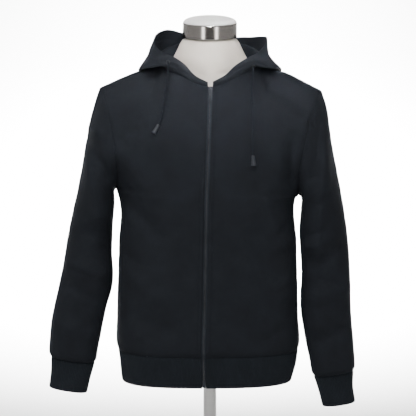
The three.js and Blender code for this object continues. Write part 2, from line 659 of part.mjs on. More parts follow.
// A ribbed band: ridges and valleys in its outer points, over a plain inside with longer steps
function ribbedWall(levels, ribs, closed, axis) {
  const width = ribs * 2;
  const outer = [];
  const inner = [];
  levels.forEach((ring) => {
    const outerRow = [];
    const innerRow = [];
    const centre = ring(0.25).add(ring(0.75)).add(ring(0.5)).add(ring(0)).multiplyScalar(0.25);
    for (let j = 0; j < (closed ? width : width + 1); j += 1) {
      const step = 0.25 / width;
      const tangent = ring(Math.min(j / width + step, 1)).sub(ring(Math.max(j / width - step, 0)));
      if (closed && j === 0) tangent.copy(ring(step).sub(ring(1 - step)));
      const normal = tangent.cross(axis).normalize();
      if (normal.dot(ring(j / width).sub(centre)) < 0) normal.negate();
      const ridge = j % 2 === 1 ? ribHeight : 0;
      outerRow.push(ring(j / width).addScaledVector(normal, clothThickness / 2 + ridge));
      if (j % columnsPerInnerStep > 0) continue;
      innerRow.push(ring(j / width).addScaledVector(normal, -clothThickness / 2));
    }
    outer.push(outerRow);
    inner.push(innerRow);
  });
  const triangles = [];
  const last = levels.length - 1;
  const outerAt = (i, j) => outer[i][j % outer[i].length];
  const innerAt = (i, j) => inner[i][j % inner[i].length];
  for (let j = 0; j < width; j += 1) {
    for (let i = 0; i < last; i += 1) {
      quad(triangles, outerAt(i, j), outerAt(i, j + 1), outerAt(i + 1, j + 1), outerAt(i + 1, j));
    }
  }
  const half = columnsPerInnerStep / 2;
  for (let m = 0; m < width / columnsPerInnerStep; m += 1) {
    for (let i = 0; i < last; i += 1) {
      quad(triangles, innerAt(i, m), innerAt(i + 1, m), innerAt(i + 1, m + 1), innerAt(i, m + 1));
    }
    [0, last].forEach((i) => {
      const fan = [];
      for (let k = 0; k < columnsPerInnerStep; k += 1) {
        const j = m * columnsPerInnerStep + k;
        fan.push([outerAt(i, j), innerAt(i, k < half ? m : m + 1), outerAt(i, j + 1)]);
      }
      fan.push([outerAt(i, m * columnsPerInnerStep + half), innerAt(i, m), innerAt(i, m + 1)]);
      fan.forEach(([a, b, c]) => triangles.push(...(i === 0 ? [a, b, c] : [a, c, b])));
    });
  }
  if (!closed) {
    for (let i = 0; i < last; i += 1) {
      quad(triangles, outer[i][0], outer[i + 1][0], inner[i + 1][0], inner[i][0]);
      const endOuter = outer[i].length - 1;
      const endInner = inner[i].length - 1;
      const [low, high] = [outer[i][endOuter], outer[i + 1][endOuter]];
      quad(triangles, high, low, inner[i][endInner], inner[i + 1][endInner]);
    }
  }
  return closedMesh(triangles);
}

// A solid through stacked rings, closed at both ends
function ringSolid(rings) {
  const triangles = [];
  const width = rings[0].length;
  const centreOf = (ring) => ring.reduce((sum, p) => sum.add(p), new Vector3()).divideScalar(width);
  for (let j = 0; j < width; j += 1) {
    const k = (j + 1) % width;
    for (let i = 0; i + 1 < rings.length; i += 1) {
      quad(triangles, rings[i][j], rings[i][k], rings[i + 1][k], rings[i + 1][j]);
    }
  }
  const ends = [[rings[0], true], [rings[rings.length - 1], false]];
  ends.forEach(([ring, first]) => {
    const centre = centreOf(ring);
    for (let j = 0; j < width; j += 1) {
      const pair = [ring[j], ring[(j + 1) % width]];
      if (first) pair.reverse();
      triangles.push(centre, ...pair);
    }
  });
  return closedMesh(triangles);
}

// Cloth sheets

function buildSheets() {
  const sheets = {};
  const front = { [left]: halfPanel(left, 'front'), [right]: halfPanel(right, 'front') };
  const back = { [left]: halfPanel(left, 'back'), [right]: halfPanel(right, 'back') };
  const outwards = new Vector3(0, -1, 0);
  [left, right].forEach((side) => {
    const name = side === left ? 'left' : 'right';
    const panel = front[side];
    const sheet = makeSheet(panel.rows, panel.columns, panel.surface);
    faceOutside(sheet, 2, 2, outwards);
    sheets[`front_${name}`] = sheet;
  });
  const half = back[left].columns;
  const backPoint = (i, j) => back[j <= half ? left : right].surface(i, Math.abs(half - j));
  sheets.back = makeSheet(back[left].rows, half * 2, backPoint);
  faceOutside(sheets.back, 2, half, outwards.clone().negate());
  [left, right].forEach((side) => {
    const name = side === left ? 'left' : 'right';
    sheets[`sleeve_${name}`] = sleeveSheet(side);
    sheets[`hood_${name}`] = hoodSheet(side, front[side], back[side]);
  });
  return sheets;
}

// The sleeve's first rows change over from the armhole to the sections of the table
function sleeveSheet(side) {
  const { placed, read } = sectionReader(sleeveRows[side]);
  const stations = [0];
  for (let k = 1; k < placed.length; k += 1) {
    const span = placed[k].along - placed[k - 1].along;
    const pieces = Math.max(1, Math.round(span / sleeveStep));
    for (let m = 1; m <= pieces; m += 1) stations.push(placed[k - 1].along + (span * m) / pieces);
  }
  const holes = { front: armhole(side, 'front'), back: armhole(side, 'back') };
  const around = armholeRows * 2;
  const changeOver = placed[4].along;
  const sheet = makeSheet(stations.length - 1, around, (i, j) => {
    const onHole = j <= armholeRows ? holes.front(j / armholeRows) : holes.back((around - j) / armholeRows);
    if (i === 0) return onHole;
    const turn = Math.PI - (j * 2 * Math.PI) / around;
    const share = Math.max(0, 1 - stations[i] / changeOver) ** 1.5;
    const drift = onHole.sub(sleeveSection(placed[0], turn));
    return sleeveSection(read(stations[i]), turn).addScaledVector(drift, share);
  }, true);
  faceOutside(sheet, 6, armholeRows, new Vector3(side, 0, 0));
  return sheet;
}

function hoodReader(side) {
  const readers = {};
  ['roll', 'under', 'low'].forEach((name) => {
    readers[name] = ['R', 'Z'].map((end) => column(hoodUnderRows, 'angle', name + end));
  });
  ['wall', 'rim'].forEach((name) => {
    readers[name] = ['R', 'Z'].map((end) => column(hoodOuterRows[side], 'angle', name + end));
  });
  return readers;
}

function hoodSheet(side, front, back) {
  const readers = hoodReader(side);
  const columns = frontNeckColumns + backNeckColumns;
  const seamPoint = (j) => {
    if (j <= frontNeckColumns) return front.surface(front.rows, j);
    return back.surface(back.rows, columns - j);
  };
  const profiles = [];
  for (let j = 0; j <= columns; j += 1) {
    const seam = seamPoint(j);
    const angle = Math.atan2(side * seam.x, hoodCentreY - seam.y);
    const degrees = j === columns ? 180 : THREE.MathUtils.radToDeg(angle);
    const knots = Object.values(readers).map(([radius, height]) => {
      const r = radius(degrees);
      const x = j === columns ? seam.x : side * r * Math.sin(angle);
      return new Vector3(x, hoodCentreY - r * Math.cos(angle), height(degrees));
    });
    if (j === 0) knots.forEach((p) => { p.x = seam.x; });
    profiles.push(path([seam, ...knots]));
  }
  const hoodPoint = (i, j) => (i === 0 ? seamPoint(j) : profiles[j](i / hoodRows));
  const sheet = makeSheet(hoodRows, columns, hoodPoint);
  faceOutside(sheet, 1, 2, new Vector3(0, -1, 0));
  return sheet;
}

function hoodHem(sheet) {
  const last = sheet.points.length - 1;
  return (i, j) => {
    let distance = 0;
    for (let k = last; k > i; k -= 1) distance += sheet.points[k][j].distanceTo(sheet.points[k - 1][j]);
    return distance < hoodHemWidth ? hoodHemRaise : 0;
  };
}

// Zip

// The zip's strips run up from the hem; across is the distance from the zip's middle line
function zipStrip(section, levels) {
  const rings = levels.map((z) => section.map(([across, deep]) => (
    new Vector3(middle.zip(z) + across, middle.front(z) + deep, z)
  )));
  return ringSolid(rings);
}

// A tape lies behind its panel's edge and reaches past it to the chain
function tapeSheet(side, panel) {
  const bandEdges = [2, bandTop / 2].map((z) => (
    [centrePoint(side, 'front', z), quarterRing(side, 'front', z)(0.1)]
  ));
  const edges = [...bandEdges, ...panel.points.map((row) => [row[0], row[1]])];
  const sheet = makeSheet(edges.length - 1, 2, (i, j) => {
    const [edge, next] = edges[i];
    if (j === 0) {
      const x = middle.zip(edge.z) + side * (chainHalfWidth + touchGap);
      return new Vector3(x, middle.front(edge.z) + tapeMiddle, edge.z);
    }
    const along = new Vector3(next.x - edge.x, next.y - edge.y, 0).normalize();
    const inward = new Vector3(-side * along.y, side * along.x, 0);
    const place = edge.clone().addScaledVector(inward, tapeMiddle);
    return place.addScaledVector(along, j === 2 ? tapeReach - zipHalfGap : 0);
  });
  faceOutside(sheet, 2, 1, new Vector3(0, -1, 0));
  shareNormals([sheet]);
  return sheet;
}

function evenLevels(start, end, count) {
  return Array.from({ length: count + 1 }, (_, k) => start + ((end - start) * k) / count);
}

function extruded(shape, depth, place) {
  const geometry = new THREE.ExtrudeGeometry(shape, { depth, bevelEnabled: false, curveSegments: 8 });
  geometry.translate(0, 0, -depth / 2);
  place(geometry);
  return geometry;
}

function toSolid(geometry) {
  const bare = geometry.clone();
  bare.deleteAttribute('normal');
  bare.deleteAttribute('uv');
  const merged = mergeVertices(bare, 1e-4);
  return new wasm.Manifold(new wasm.Mesh({
    numProp: 3,
    vertProperties: new Float32Array(merged.attributes.position.array),
    triVerts: new Uint32Array(merged.index.array),
  }));
}

function toGeometry(solid) {
  const { vertProperties, triVerts } = solid.getMesh();
  const geometry = new THREE.BufferGeometry();
  geometry.setAttribute('position', new THREE.BufferAttribute(new Float32Array(vertProperties), 3));
  geometry.setIndex(new THREE.BufferAttribute(new Uint32Array(triVerts), 1));
  return geometry;
}

function rectangle(x1, y1, x2, y2) {
  const shape = new THREE.Shape();
  shape.moveTo(x1, y1);
  shape.lineTo(x2, y1);
  shape.lineTo(x2, y2);
  shape.lineTo(x1, y2);
  shape.closePath();
  return shape;
}

const zipFaceAt = (z) => middle.front(z);
const sliderFace = chainFront - plateGap - frontPlate; // measured from the cloth's middle surface
const sliderBack = tapeMiddle + tapeThickness / 2 + plateGap + backPlate;

const leanSpan = 6;
const leanRise = zipFaceAt(hingeHeight + leanSpan) - zipFaceAt(hingeHeight - leanSpan);
const zipLean = -Math.atan2(leanRise, leanSpan * 2);

// Places an outline drawn with x as depth and y as height, extruded across the zip
function acrossZip(geometry) {
  geometry.rotateX(Math.PI / 2);
  geometry.rotateZ(Math.PI / 2);
}

function zipSlider() {
  const depth = zipFaceAt(hingeHeight);
  const crown = sliderTop - 2;
  const front = rectangle(sliderFace, sliderBottom, chainFront - plateGap, sliderTop);
  const back = rectangle(sliderBack - backPlate, sliderBottom, sliderBack, sliderTop);
  const bridge = rectangle(sliderFace + 0.5, crown, sliderBack - 0.5, sliderTop);
  const arch = rectangle(sliderFace - 3.6, hingeHeight - 2.4, sliderFace + 0.4, hingeHeight + 2.4);
  arch.holes.push(rectangle(sliderFace - 2.7, hingeHeight - 1.4, sliderFace, hingeHeight + 1.4));
  const width = sliderHalfWidth * 2;
  const pieces = [[front, width], [back, width], [bridge, chainHalfWidth * 2 - 0.4], [arch, 2]];
  const [first, ...others] = pieces.map(([shape, across]) => toSolid(extruded(shape, across, acrossZip)));
  const geometry = toGeometry(others.reduce((sum, solid) => sum.add(solid), first));
  geometry.translate(0, 0, -hingeHeight);
  geometry.rotateX(zipLean);
  geometry.translate(middle.zip(hingeHeight), depth, hingeHeight);
  return geometry;
}

function zipPull() {
  const bar = pullThickness / 2;
  const eye = 4.4;
  const shape = new THREE.Shape();
  shape.moveTo(-pullHalfWidth, bar);
  shape.lineTo(-pullHalfWidth, -pullLength + 3);
  shape.quadraticCurveTo(-pullHalfWidth, -pullLength, 0, -pullLength);
  shape.quadraticCurveTo(pullHalfWidth, -pullLength, pullHalfWidth, -pullLength + 3);
  shape.lineTo(pullHalfWidth, bar);
  shape.closePath();
  shape.holes.push(rectangle(-1.6, -eye, 1.6, -bar));
  shape.holes.push(rectangle(-1.1, -pullLength + 4, 1.1, -eye - 5));
  const geometry = extruded(shape, pullThickness, (g) => g.rotateX(Math.PI / 2));
  geometry.translate(0, sliderFace - hingeOut, 0);
  geometry.rotateX(zipLean);
  geometry.translate(middle.zip(hingeHeight), zipFaceAt(hingeHeight), hingeHeight);
  return geometry;
}

// Finds the outer surface of the cloth in front of a place in the front view
function onCloth(geometries, x, z) {
  let best = null;
  geometries.forEach((geometry) => {
    const position = geometry.attributes.position;
    for (let k = 0; k < position.count; k += 3) {
      const [a, b, c] = [0, 1, 2].map((m) => new Vector3().fromBufferAttribute(position, k + m));
      const area = (b.x - a.x) * (c.z - a.z) - (c.x - a.x) * (b.z - a.z);
      if (Math.abs(area) < 1e-9) continue;
      const s = ((x - a.x) * (c.z - a.z) - (c.x - a.x) * (z - a.z)) / area;
      const t = ((b.x - a.x) * (z - a.z) - (x - a.x) * (b.z - a.z)) / area;
      if (s < 0 || t < 0 || s + t > 1) continue;
      const y = a.y + s * (b.y - a.y) + t * (c.y - a.y);
      if (best && y >= best.point.y) continue;
      const normal = b.clone().sub(a).cross(c.clone().sub(a)).normalize();
      best = { point: new Vector3(x, y, z), normal: normal.y > 0 ? normal.negate() : normal };
    }
  });
  return best;
}

function eyelet(hood, { x, z }) {
  const { point, normal } = onCloth([hood], x, z);
  const profile = [
    [eyeletInner, 0], [eyeletOuter, 0], [eyeletOuter, 0.5], [4.1, eyeletThickness],
    [eyeletInner, 0.5], [eyeletInner, 0],
  ];
  const geometry = lathe(profile, 20, 0);
  geometry.applyQuaternion(new THREE.Quaternion().setFromUnitVectors(up, normal));
  const place = point.addScaledVector(normal, eyeletLift);
  geometry.translate(place.x, place.y, place.z);
  return geometry;
}

function drawcord(route) {
  const curve = new THREE.CatmullRomCurve3(route.map((p) => new Vector3(...p)));
  const circle = new THREE.Shape();
  circle.absarc(0, 0, cordRadius, 0, 2 * Math.PI);
  const steps = Math.round(curve.getLength() / cordStep);
  return new THREE.ExtrudeGeometry(circle, { steps, curveSegments: 8, extrudePath: curve });
}

// A bell-shaped end: narrow at the top, where the cord goes in
function cordEnd({ top, foot }) {
  const [start, end] = [new Vector3(...top), new Vector3(...foot)];
  const along = end.clone().sub(start);
  const length = along.length();
  const profile = [
    [0, 0], [3, 0], [3.3, 1], [3.6, length * 0.35], [4.6, length * 0.7],
    [5.4, length * 0.92], [4.8, length], [0, length],
  ];
  const geometry = lathe(profile, 14, 0);
  geometry.applyQuaternion(new THREE.Quaternion().setFromUnitVectors(up, along.normalize()));
  geometry.translate(start.x, start.y, start.z);
  return geometry;
}

// The dress form

// Draws a point of the form in, so that it stays clear of the cloth's inside at its height
function withinCloth(p, panels) {
  const reach = Math.hypot(p.x, p.y);
  const ray = new THREE.Ray(new Vector3(0, 0, p.z), new Vector3(p.x / reach, p.y / reach, 0));
  const hit = new Vector3();
  let allowed = Infinity;
  panels.forEach((geometry) => {
    const position = geometry.attributes.position;
    for (let k = 0; k < position.count; k += 3) {
      const [a, b, c] = [0, 1, 2].map((m) => new Vector3().fromBufferAttribute(position, k + m));
      if (!ray.intersectTriangle(a, b, c, false, hit)) continue;
      allowed = Math.min(allowed, hit.distanceTo(ray.origin) - formClearance);
    }
  });
  if (reach > allowed) p.setX((p.x * allowed) / reach).setY((p.y * allowed) / reach);
  return p;
}

function formTorso(panels) {
  const rings = formRows.map(({ z, half, front, back, square }) => {
    const ring = [];
    for (let j = 0; j < formColumns; j += 1) {
      const turn = (j * 2 * Math.PI) / formColumns;
      const across = Math.sign(Math.sin(turn)) * Math.abs(Math.sin(turn)) ** (2 / square);
      const deep = Math.sign(Math.cos(turn)) * Math.abs(Math.cos(turn)) ** (2 / square);
      const reach = deep > 0 ? front : -back;
      ring.push(withinCloth(new Vector3(half * across, deep * reach, z), panels));
    }
    return ring;
  });
  return ringSolid(rings);
}

function lathe(profile, segments, height) {
  const geometry = new THREE.LatheGeometry(profile.map(([r, z]) => new THREE.Vector2(r, z)), segments);
  geometry.rotateX(Math.PI / 2);
  geometry.translate(0, 0, height);
  return geometry;
}

// Materials

function finish(color, roughness, metalness) {
  return new THREE.MeshStandardMaterial({ color, roughness, metalness });
}

const fleece = finish(0x23272a, 0.92, 0);
const rib = finish(0x1f2326, 0.95, 0);
const tape = finish(0x1c1e20, 0.85, 0);
const coil = finish(0x26282a, 0.55, 0);
const sliderMetal = finish(0x3a3c3e, 0.4, 0.8);
const cordCotton = finish(0x2c3035, 0.85, 0);
const cordPlastic = finish(0x3c3f44, 0.45, 0);
const formShell = finish(0xcfcbc7, 0.6, 0);
const brushedSteel = finish(0x9b9791, 0.35, 0.9);
const capPlastic = finish(0xd6d4d0, 0.5, 0);
const standSteel = finish(0xb8b8b6, 0.35, 0.8);

// Assembly

const part = new THREE.Group();
const garment = new THREE.Group();
garment.position.z = hemHeight;
part.add(garment);

function addPiece(group, name, geometry, material) {
  const mesh = new THREE.Mesh(geometry, material);
  mesh.name = name;
  group.add(mesh);
  return geometry;
}

const sheets = buildSheets();
const panelNames = ['front_left', 'front_right', 'back'];
shareNormals(Object.values(sheets));
Object.entries(sheets).forEach(([name, sheet]) => {
  if (name.startsWith('hood')) return;
  const keepRows = name.startsWith('sleeve') ? [sheet.points.length - 1] : [0];
  addFolds(sheet, keepRows);
});
['hood_left', 'hood_right'].forEach((name) => {
  sheets[name].points[0] = sheets[name].points[0].map((p, j) => (
    p.clone().addScaledVector(sheets[name].normals[0][j], foldHeight(p, sheets[name].normals[0][j]))
  ));
});
shareNormals(Object.values(sheets));
panelNames.forEach((name) => flattenNormals(sheets[name], 0, new Vector3(0, 0, 1)));
const sleeveAxis = {};
[left, right].forEach((side) => {
  const sheet = sheets[side === left ? 'sleeve_left' : 'sleeve_right'];
  const seam = cuffRows[side][0];
  const across = new Vector3(seam.outX - seam.inX, 0, seam.outZ - seam.inZ);
  sleeveAxis[side] = across.cross(new Vector3(0, 1, 0)).normalize();
  flattenNormals(sheet, sheet.points.length - 1, sleeveAxis[side]);
});
Object.entries(sheets).forEach(([name, sheet]) => {
  pullEdges(sheet, name.startsWith('hood') ? hoodSeamPull : seamPull);
});

const clothGeometry = {};
Object.entries(sheets).forEach(([name, sheet]) => {
  const raise = name.startsWith('hood') ? hoodHem(sheet) : () => 0;
  clothGeometry[name] = addPiece(garment, name, clothWall(sheet, { raise }), fleece);
});

function bandRing(z) {
  const steps = 16;
  const quarter = (side, face) => {
    const ring = quarterRing(side, face, z);
    return Array.from({ length: steps + 1 }, (_, k) => ring(k / steps));
  };
  const pieces = [
    quarter(left, 'front'),
    quarter(left, 'back').reverse(),
    quarter(right, 'back'),
    quarter(right, 'front').reverse(),
  ];
  return path(pieces.flatMap((points, k) => (k === 0 ? points : points.slice(1))));
}

const bandLevels = [0, bandTop / 2, bandTop - seamPull].map(bandRing);
addPiece(garment, 'hem_band', ribbedWall(bandLevels, bandRibs, false, up), rib);

function cuffRing(side, row) {
  return (fraction) => sleeveSection(row, side * fraction * 2 * Math.PI);
}

[left, right].forEach((side) => {
  const name = side === left ? 'left' : 'right';
  const rings = cuffRows[side].map((row) => cuffRing(side, row));
  const axis = sleeveAxis[side].clone().multiplyScalar(side);
  addPiece(garment, `cuff_${name}`, ribbedWall(rings, cuffRibs, true, axis), rib);
});

[left, right].forEach((side) => {
  const name = side === left ? 'left' : 'right';
  const tapeWall = clothWall(tapeSheet(side, sheets[`front_${name}`]), { thickness: tapeThickness });
  addPiece(garment, `zip_tape_${name}`, tapeWall, tape);
});

const boxTop = 15;
const chainSection = [
  [-chainHalfWidth, chainBack], [-chainHalfWidth, chainFront + 0.8], [-chainHalfWidth + 1, chainFront],
  [chainHalfWidth - 1, chainFront], [chainHalfWidth, chainFront + 0.8], [chainHalfWidth, chainBack],
];
const chainLevels = [boxTop + touchGap, bandTop, ...evenLevels(bandTop + 30, sliderTop - 2 - touchGap, 16)];
addPiece(garment, 'zip_chain', zipStrip(chainSection, chainLevels), coil);
const boxSection = [
  [-chainHalfWidth - 0.8, tapeMiddle - tapeThickness / 2 - touchGap], [-chainHalfWidth, chainFront - 0.6],
  [chainHalfWidth, chainFront - 0.6], [chainHalfWidth + 0.8, tapeMiddle - tapeThickness / 2 - touchGap],
];
addPiece(garment, 'zip_box', zipStrip(boxSection, [1, boxTop]), sliderMetal);
addPiece(garment, 'zip_slider', zipSlider(), sliderMetal);
addPiece(garment, 'zip_pull', zipPull(), sliderMetal);

[left, right].forEach((side) => {
  const name = side === left ? 'left' : 'right';
  addPiece(garment, `eyelet_${name}`, eyelet(clothGeometry[`hood_${name}`], eyelets[side]), sliderMetal);
  addPiece(garment, `drawcord_${name}`, drawcord(cordRoutes[side]), cordCotton);
  addPiece(garment, `cord_end_${name}`, cordEnd(cordEnds[side]), cordPlastic);
});

// Stand and form
addPiece(garment, 'form_torso', formTorso(panelNames.map((name) => clothGeometry[name])), formShell);
const ringProfile = [[0, 0], [ringRadius, 0], [ringRadius, ringHeight], [0, ringHeight]];
addPiece(garment, 'form_ring', lathe(ringProfile, 36, ringBottom), brushedSteel);
const capProfile = [
  [0, 0], [ringRadius - 1, 0], [ringRadius - 2, 4], [ringRadius * 0.8, 9],
  [ringRadius * 0.45, 13.2], [0, capHeight],
];
addPiece(garment, 'form_cap', lathe(capProfile, 36, ringBottom + ringHeight + touchGap), capPlastic);
const poleHeight = hemHeight + formRows[0].z - baseThickness - touchGap * 2;
const poleProfile = [[0, 0], [poleRadius, 0], [poleRadius, poleHeight], [0, poleHeight]];
addPiece(part, 'stand_pole', lathe(poleProfile, 24, baseThickness + touchGap), standSteel);
const baseEdge = 2;
const baseProfile = [
  [0, 0], [baseRadius, 0], [baseRadius, baseThickness - baseEdge],
  [baseRadius - baseEdge, baseThickness], [0, baseThickness],
];
addPiece(part, 'stand_base', lathe(baseProfile, 48, 0), standSteel);

export default part;
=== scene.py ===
# %% [markdown]
# # A zip-up hoodie on a dress form
# The hoodie is cut and sewn from knitted cotton fleece: two fronts, a back, two sleeves, a two-piece hood,
# and ribbed bands at the hem and wrists. It hangs on a limbless dress form, so its shape is that of cloth
# which rests on two shoulders and falls from there. Each sewn piece is made as its own sheet, because that
# is what gives a garment its seams.

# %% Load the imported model
import math
from bisect import bisect_right

import bmesh
import bpy
import numpy as np
from mathutils import Matrix, Vector, noise


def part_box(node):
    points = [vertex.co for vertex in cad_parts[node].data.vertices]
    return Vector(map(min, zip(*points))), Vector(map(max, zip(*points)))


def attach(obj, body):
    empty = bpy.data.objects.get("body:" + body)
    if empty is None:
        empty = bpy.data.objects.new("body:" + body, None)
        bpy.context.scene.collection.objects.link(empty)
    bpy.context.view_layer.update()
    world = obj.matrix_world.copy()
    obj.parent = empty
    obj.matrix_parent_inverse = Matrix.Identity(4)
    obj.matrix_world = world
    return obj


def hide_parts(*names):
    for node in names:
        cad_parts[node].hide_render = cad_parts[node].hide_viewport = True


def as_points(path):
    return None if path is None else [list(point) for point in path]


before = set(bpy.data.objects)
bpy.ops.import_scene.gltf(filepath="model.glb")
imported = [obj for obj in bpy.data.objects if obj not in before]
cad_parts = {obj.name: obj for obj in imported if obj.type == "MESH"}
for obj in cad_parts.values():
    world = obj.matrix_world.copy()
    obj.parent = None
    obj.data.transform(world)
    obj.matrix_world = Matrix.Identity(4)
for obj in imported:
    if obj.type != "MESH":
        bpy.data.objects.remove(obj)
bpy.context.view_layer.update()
MM = 0.001
HEM_HEIGHT = 210

# %% [markdown]
# ## The camera
# The photograph was taken with a long lens from a few metres away and a little above the shoulders. That
# keeps the sleeves and the body at nearly one scale, so the camera stands far off with a narrow view.


# %% Set up the camera
def add_object(name, data):
    """Puts a camera, a lamp or a mesh in the scene under a name."""
    added = bpy.data.objects.new(name, data)
    bpy.context.scene.collection.objects.link(added)
    return added


camera = add_object("camera", bpy.data.cameras.new("camera"))
bpy.context.scene.camera = camera
aim = Vector((-0.004, 0, 0.581))
camera.location = (-0.004, -7.89, 1.901)
camera.rotation_euler = (aim - camera.location).to_track_quat("-Z", "Y").to_euler()
camera.data.sensor_width = 36
camera.data.lens = 322
print("camera distance", round((aim - camera.location).length, 2))

# %% [markdown]
# ## Tables of sizes
# A pattern maker writes a garment down as a few sizes at named heights. The tables here are in
# millimetres above the hem, with x across, y towards the back and z up. A smooth curve through the rows
# of one column then gives the size at any height between them.


# %% Read the tables
def table(names, rows):
    return [dict(zip(names.split(), row)) for row in rows]


def column(rows, key, name):
    """Reads one column of a table as a smooth curve through its rows."""
    places = [row[key] for row in rows]
    values = [row[name] for row in rows]
    last = len(rows) - 1
    slopes = []
    for k in range(last + 1):
        before, after = max(k - 1, 0), min(k + 1, last)
        slopes.append((values[after] - values[before]) / (places[after] - places[before]))

    def read(at):
        if at <= places[0]:
            return values[0]
        if at >= places[last]:
            return values[last]
        i = bisect_right(places, at) - 1
        span = places[i + 1] - places[i]
        t = (at - places[i]) / span
        rise = values[i + 1] - values[i]
        bend = t * (1 - t) * span
        return values[i] + rise * t * t * (3 - 2 * t) + bend * ((1 - t) * slopes[i] - t * slopes[i + 1])

    return read


def path(points):
    """A smooth path through points; its fraction is measured along the chords."""
    rows = []
    along = 0
    for k, p in enumerate(points):
        if k:
            along += (p - points[k - 1]).length
        rows.append({"along": along, "x": p.x, "y": p.y, "z": p.z})
    readers = [column(rows, "along", name) for name in "xyz"]
    return lambda fraction: Vector([read(fraction * along) for read in readers])


LEFT, RIGHT = -1, 1
SIDES = {"left": LEFT, "right": RIGHT}
CLOTH_THICKNESS = 2.4
BAND_TOP = 66
ARMPIT_LEVEL = 407
ZIP_TOP = 648
NAPE_HEIGHT = 692
BODY_SQUARENESS = 2.7
SLEEVE_SQUARENESS = 2.3
ZIP_HALF_GAP = 5.2

middle_rows = table("z zip front back", [
    (0, -12, -117, 112),
    (33, -13, -120, 115),
    (66, -13.5, -121, 116),
    (82, -13.5, -126, 120),
    (130, -12.5, -126, 119),
    (220, -10.5, -123, 111),
    (305, -9, -121, 108),
    (407, -7, -121, 115),
    (480, -4.5, -118, 119),
    (550, -2, -112, 116),
    (610, 0, -107, 105),
    (648, 1, -104, 93),
    (692, 1, -100, 76),
])
side_seam_rows = table("z left right seam", [
    (0, -188, 175, -2),
    (33, -192, 184, -1),
    (66, -196, 189, 0),
    (82, -201, 193, 0),
    (130, -200, 190, 0),
    (220, -197, 187, 1),
    (305, -194, 185, 3),
    (352, -190, 179, 5),
    (385, -192, 179, 7),
    (414, -200, 189, 8),
])
corners = {
    LEFT: {"armpit": (-200, 8, 414), "shoulder": (-234, 2, 633), "neck": (-105, 0, 684)},
    RIGHT: {"armpit": (189, 8, 400), "shoulder": (238, 2, 626), "neck": (105, 0, 685)},
}
armhole_rows = {
    "front": table("rise inset y", [(0.09, 4, -42), (0.3, 12, -76), (0.57, 13, -82), (0.83, 8, -54)]),
    "back": table("rise inset y", [(0.09, 1, 56), (0.32, 5, 88), (0.6, 8, 92), (0.84, 6, 62)]),
}
neck_rows = {
    "front": table("x y z", [(33, -98, 656), (57, -85, 667), (87, -54, 675)]),
    "back": table("x y z", [(92, 40, 689), (56, 66, 692)]),
}
yoke_rows = table("rise ring yoke", [
    (0, 1, 0),
    (0.12, 0.68, 0),
    (0.32, 0.36, 0.02),
    (0.55, 0.22, 0.12),
    (0.8, 0.1, 0.42),
    (1, 0, 1),
])

middle = {name: column(middle_rows, "z", name) for name in ("zip", "front", "back")}
outline = {side: column(side_seam_rows, "z", name) for name, side in SIDES.items()}
seam_depth = column(side_seam_rows, "z", "seam")
ring_share = column(yoke_rows, "rise", "ring")
yoke_share = column(yoke_rows, "rise", "yoke")
print("zip leans from", middle["zip"](0), "to", middle["zip"](ZIP_TOP))

# %% [markdown]
# ## The body's surfaces
# Half a front is a patch of cloth with four sides: the zip edge, the band, the side seam with the armhole,
# and the neckline with the shoulder. A sculpted blob would lose those edges, so the patch is worked out
# between them: a straight line from zip to side, plus the round of the chest low down and the slope of the
# shoulder higher up.

# %% Work out the seam lines
SIDE_CELLS = 11
ARMHOLE_CELLS = 9
SHOULDER_CELLS = 5
NECK_CELLS = {"front": 8, "back": 7}


def corner(side, name):
    return Vector(corners[side][name])


def centre_point(side, face, z):
    if face == "back":
        return Vector((middle["zip"](z), middle["back"](z), z))
    return Vector((middle["zip"](z) + side * ZIP_HALF_GAP, middle["front"](z), z))


def side_point(side, z):
    return Vector((outline[side](z), seam_depth(z), z))


def quarter_ring(side, face, z):
    """A quarter of the body's squarish ring, from the centre line to the side seam."""
    start, end = centre_point(side, face, z), side_point(side, z)
    points = []
    for k in range(21):
        turn = k / 20 * math.pi / 2
        across = math.sin(turn) ** (2 / BODY_SQUARENESS)
        deep = 0 if k == 20 else math.cos(turn) ** (2 / BODY_SQUARENESS)
        points.append(Vector((start.x + (end.x - start.x) * across, end.y + (start.y - end.y) * deep, z)))
    return path(points)


def armhole(side, face):
    armpit, shoulder = corner(side, "armpit"), corner(side, "shoulder")
    points = []
    for row in armhole_rows[face]:
        p = armpit.lerp(shoulder, row["rise"])
        points.append(Vector((p.x - side * row["inset"], row["y"], p.z)))
    return path([armpit, *points, shoulder])


def neckline(side, face):
    start = centre_point(side, face, ZIP_TOP if face == "front" else NAPE_HEIGHT)
    points = [Vector((side * row["x"], row["y"], row["z"])) for row in neck_rows[face]]
    if face == "back":
        points.reverse()
    return path([start, *points, corner(side, "neck")])


def shoulder_seam(side):
    neck, shoulder = corner(side, "neck"), corner(side, "shoulder")
    return path([neck, neck.lerp(shoulder, 0.47) + Vector((0, 2, 3)), shoulder])


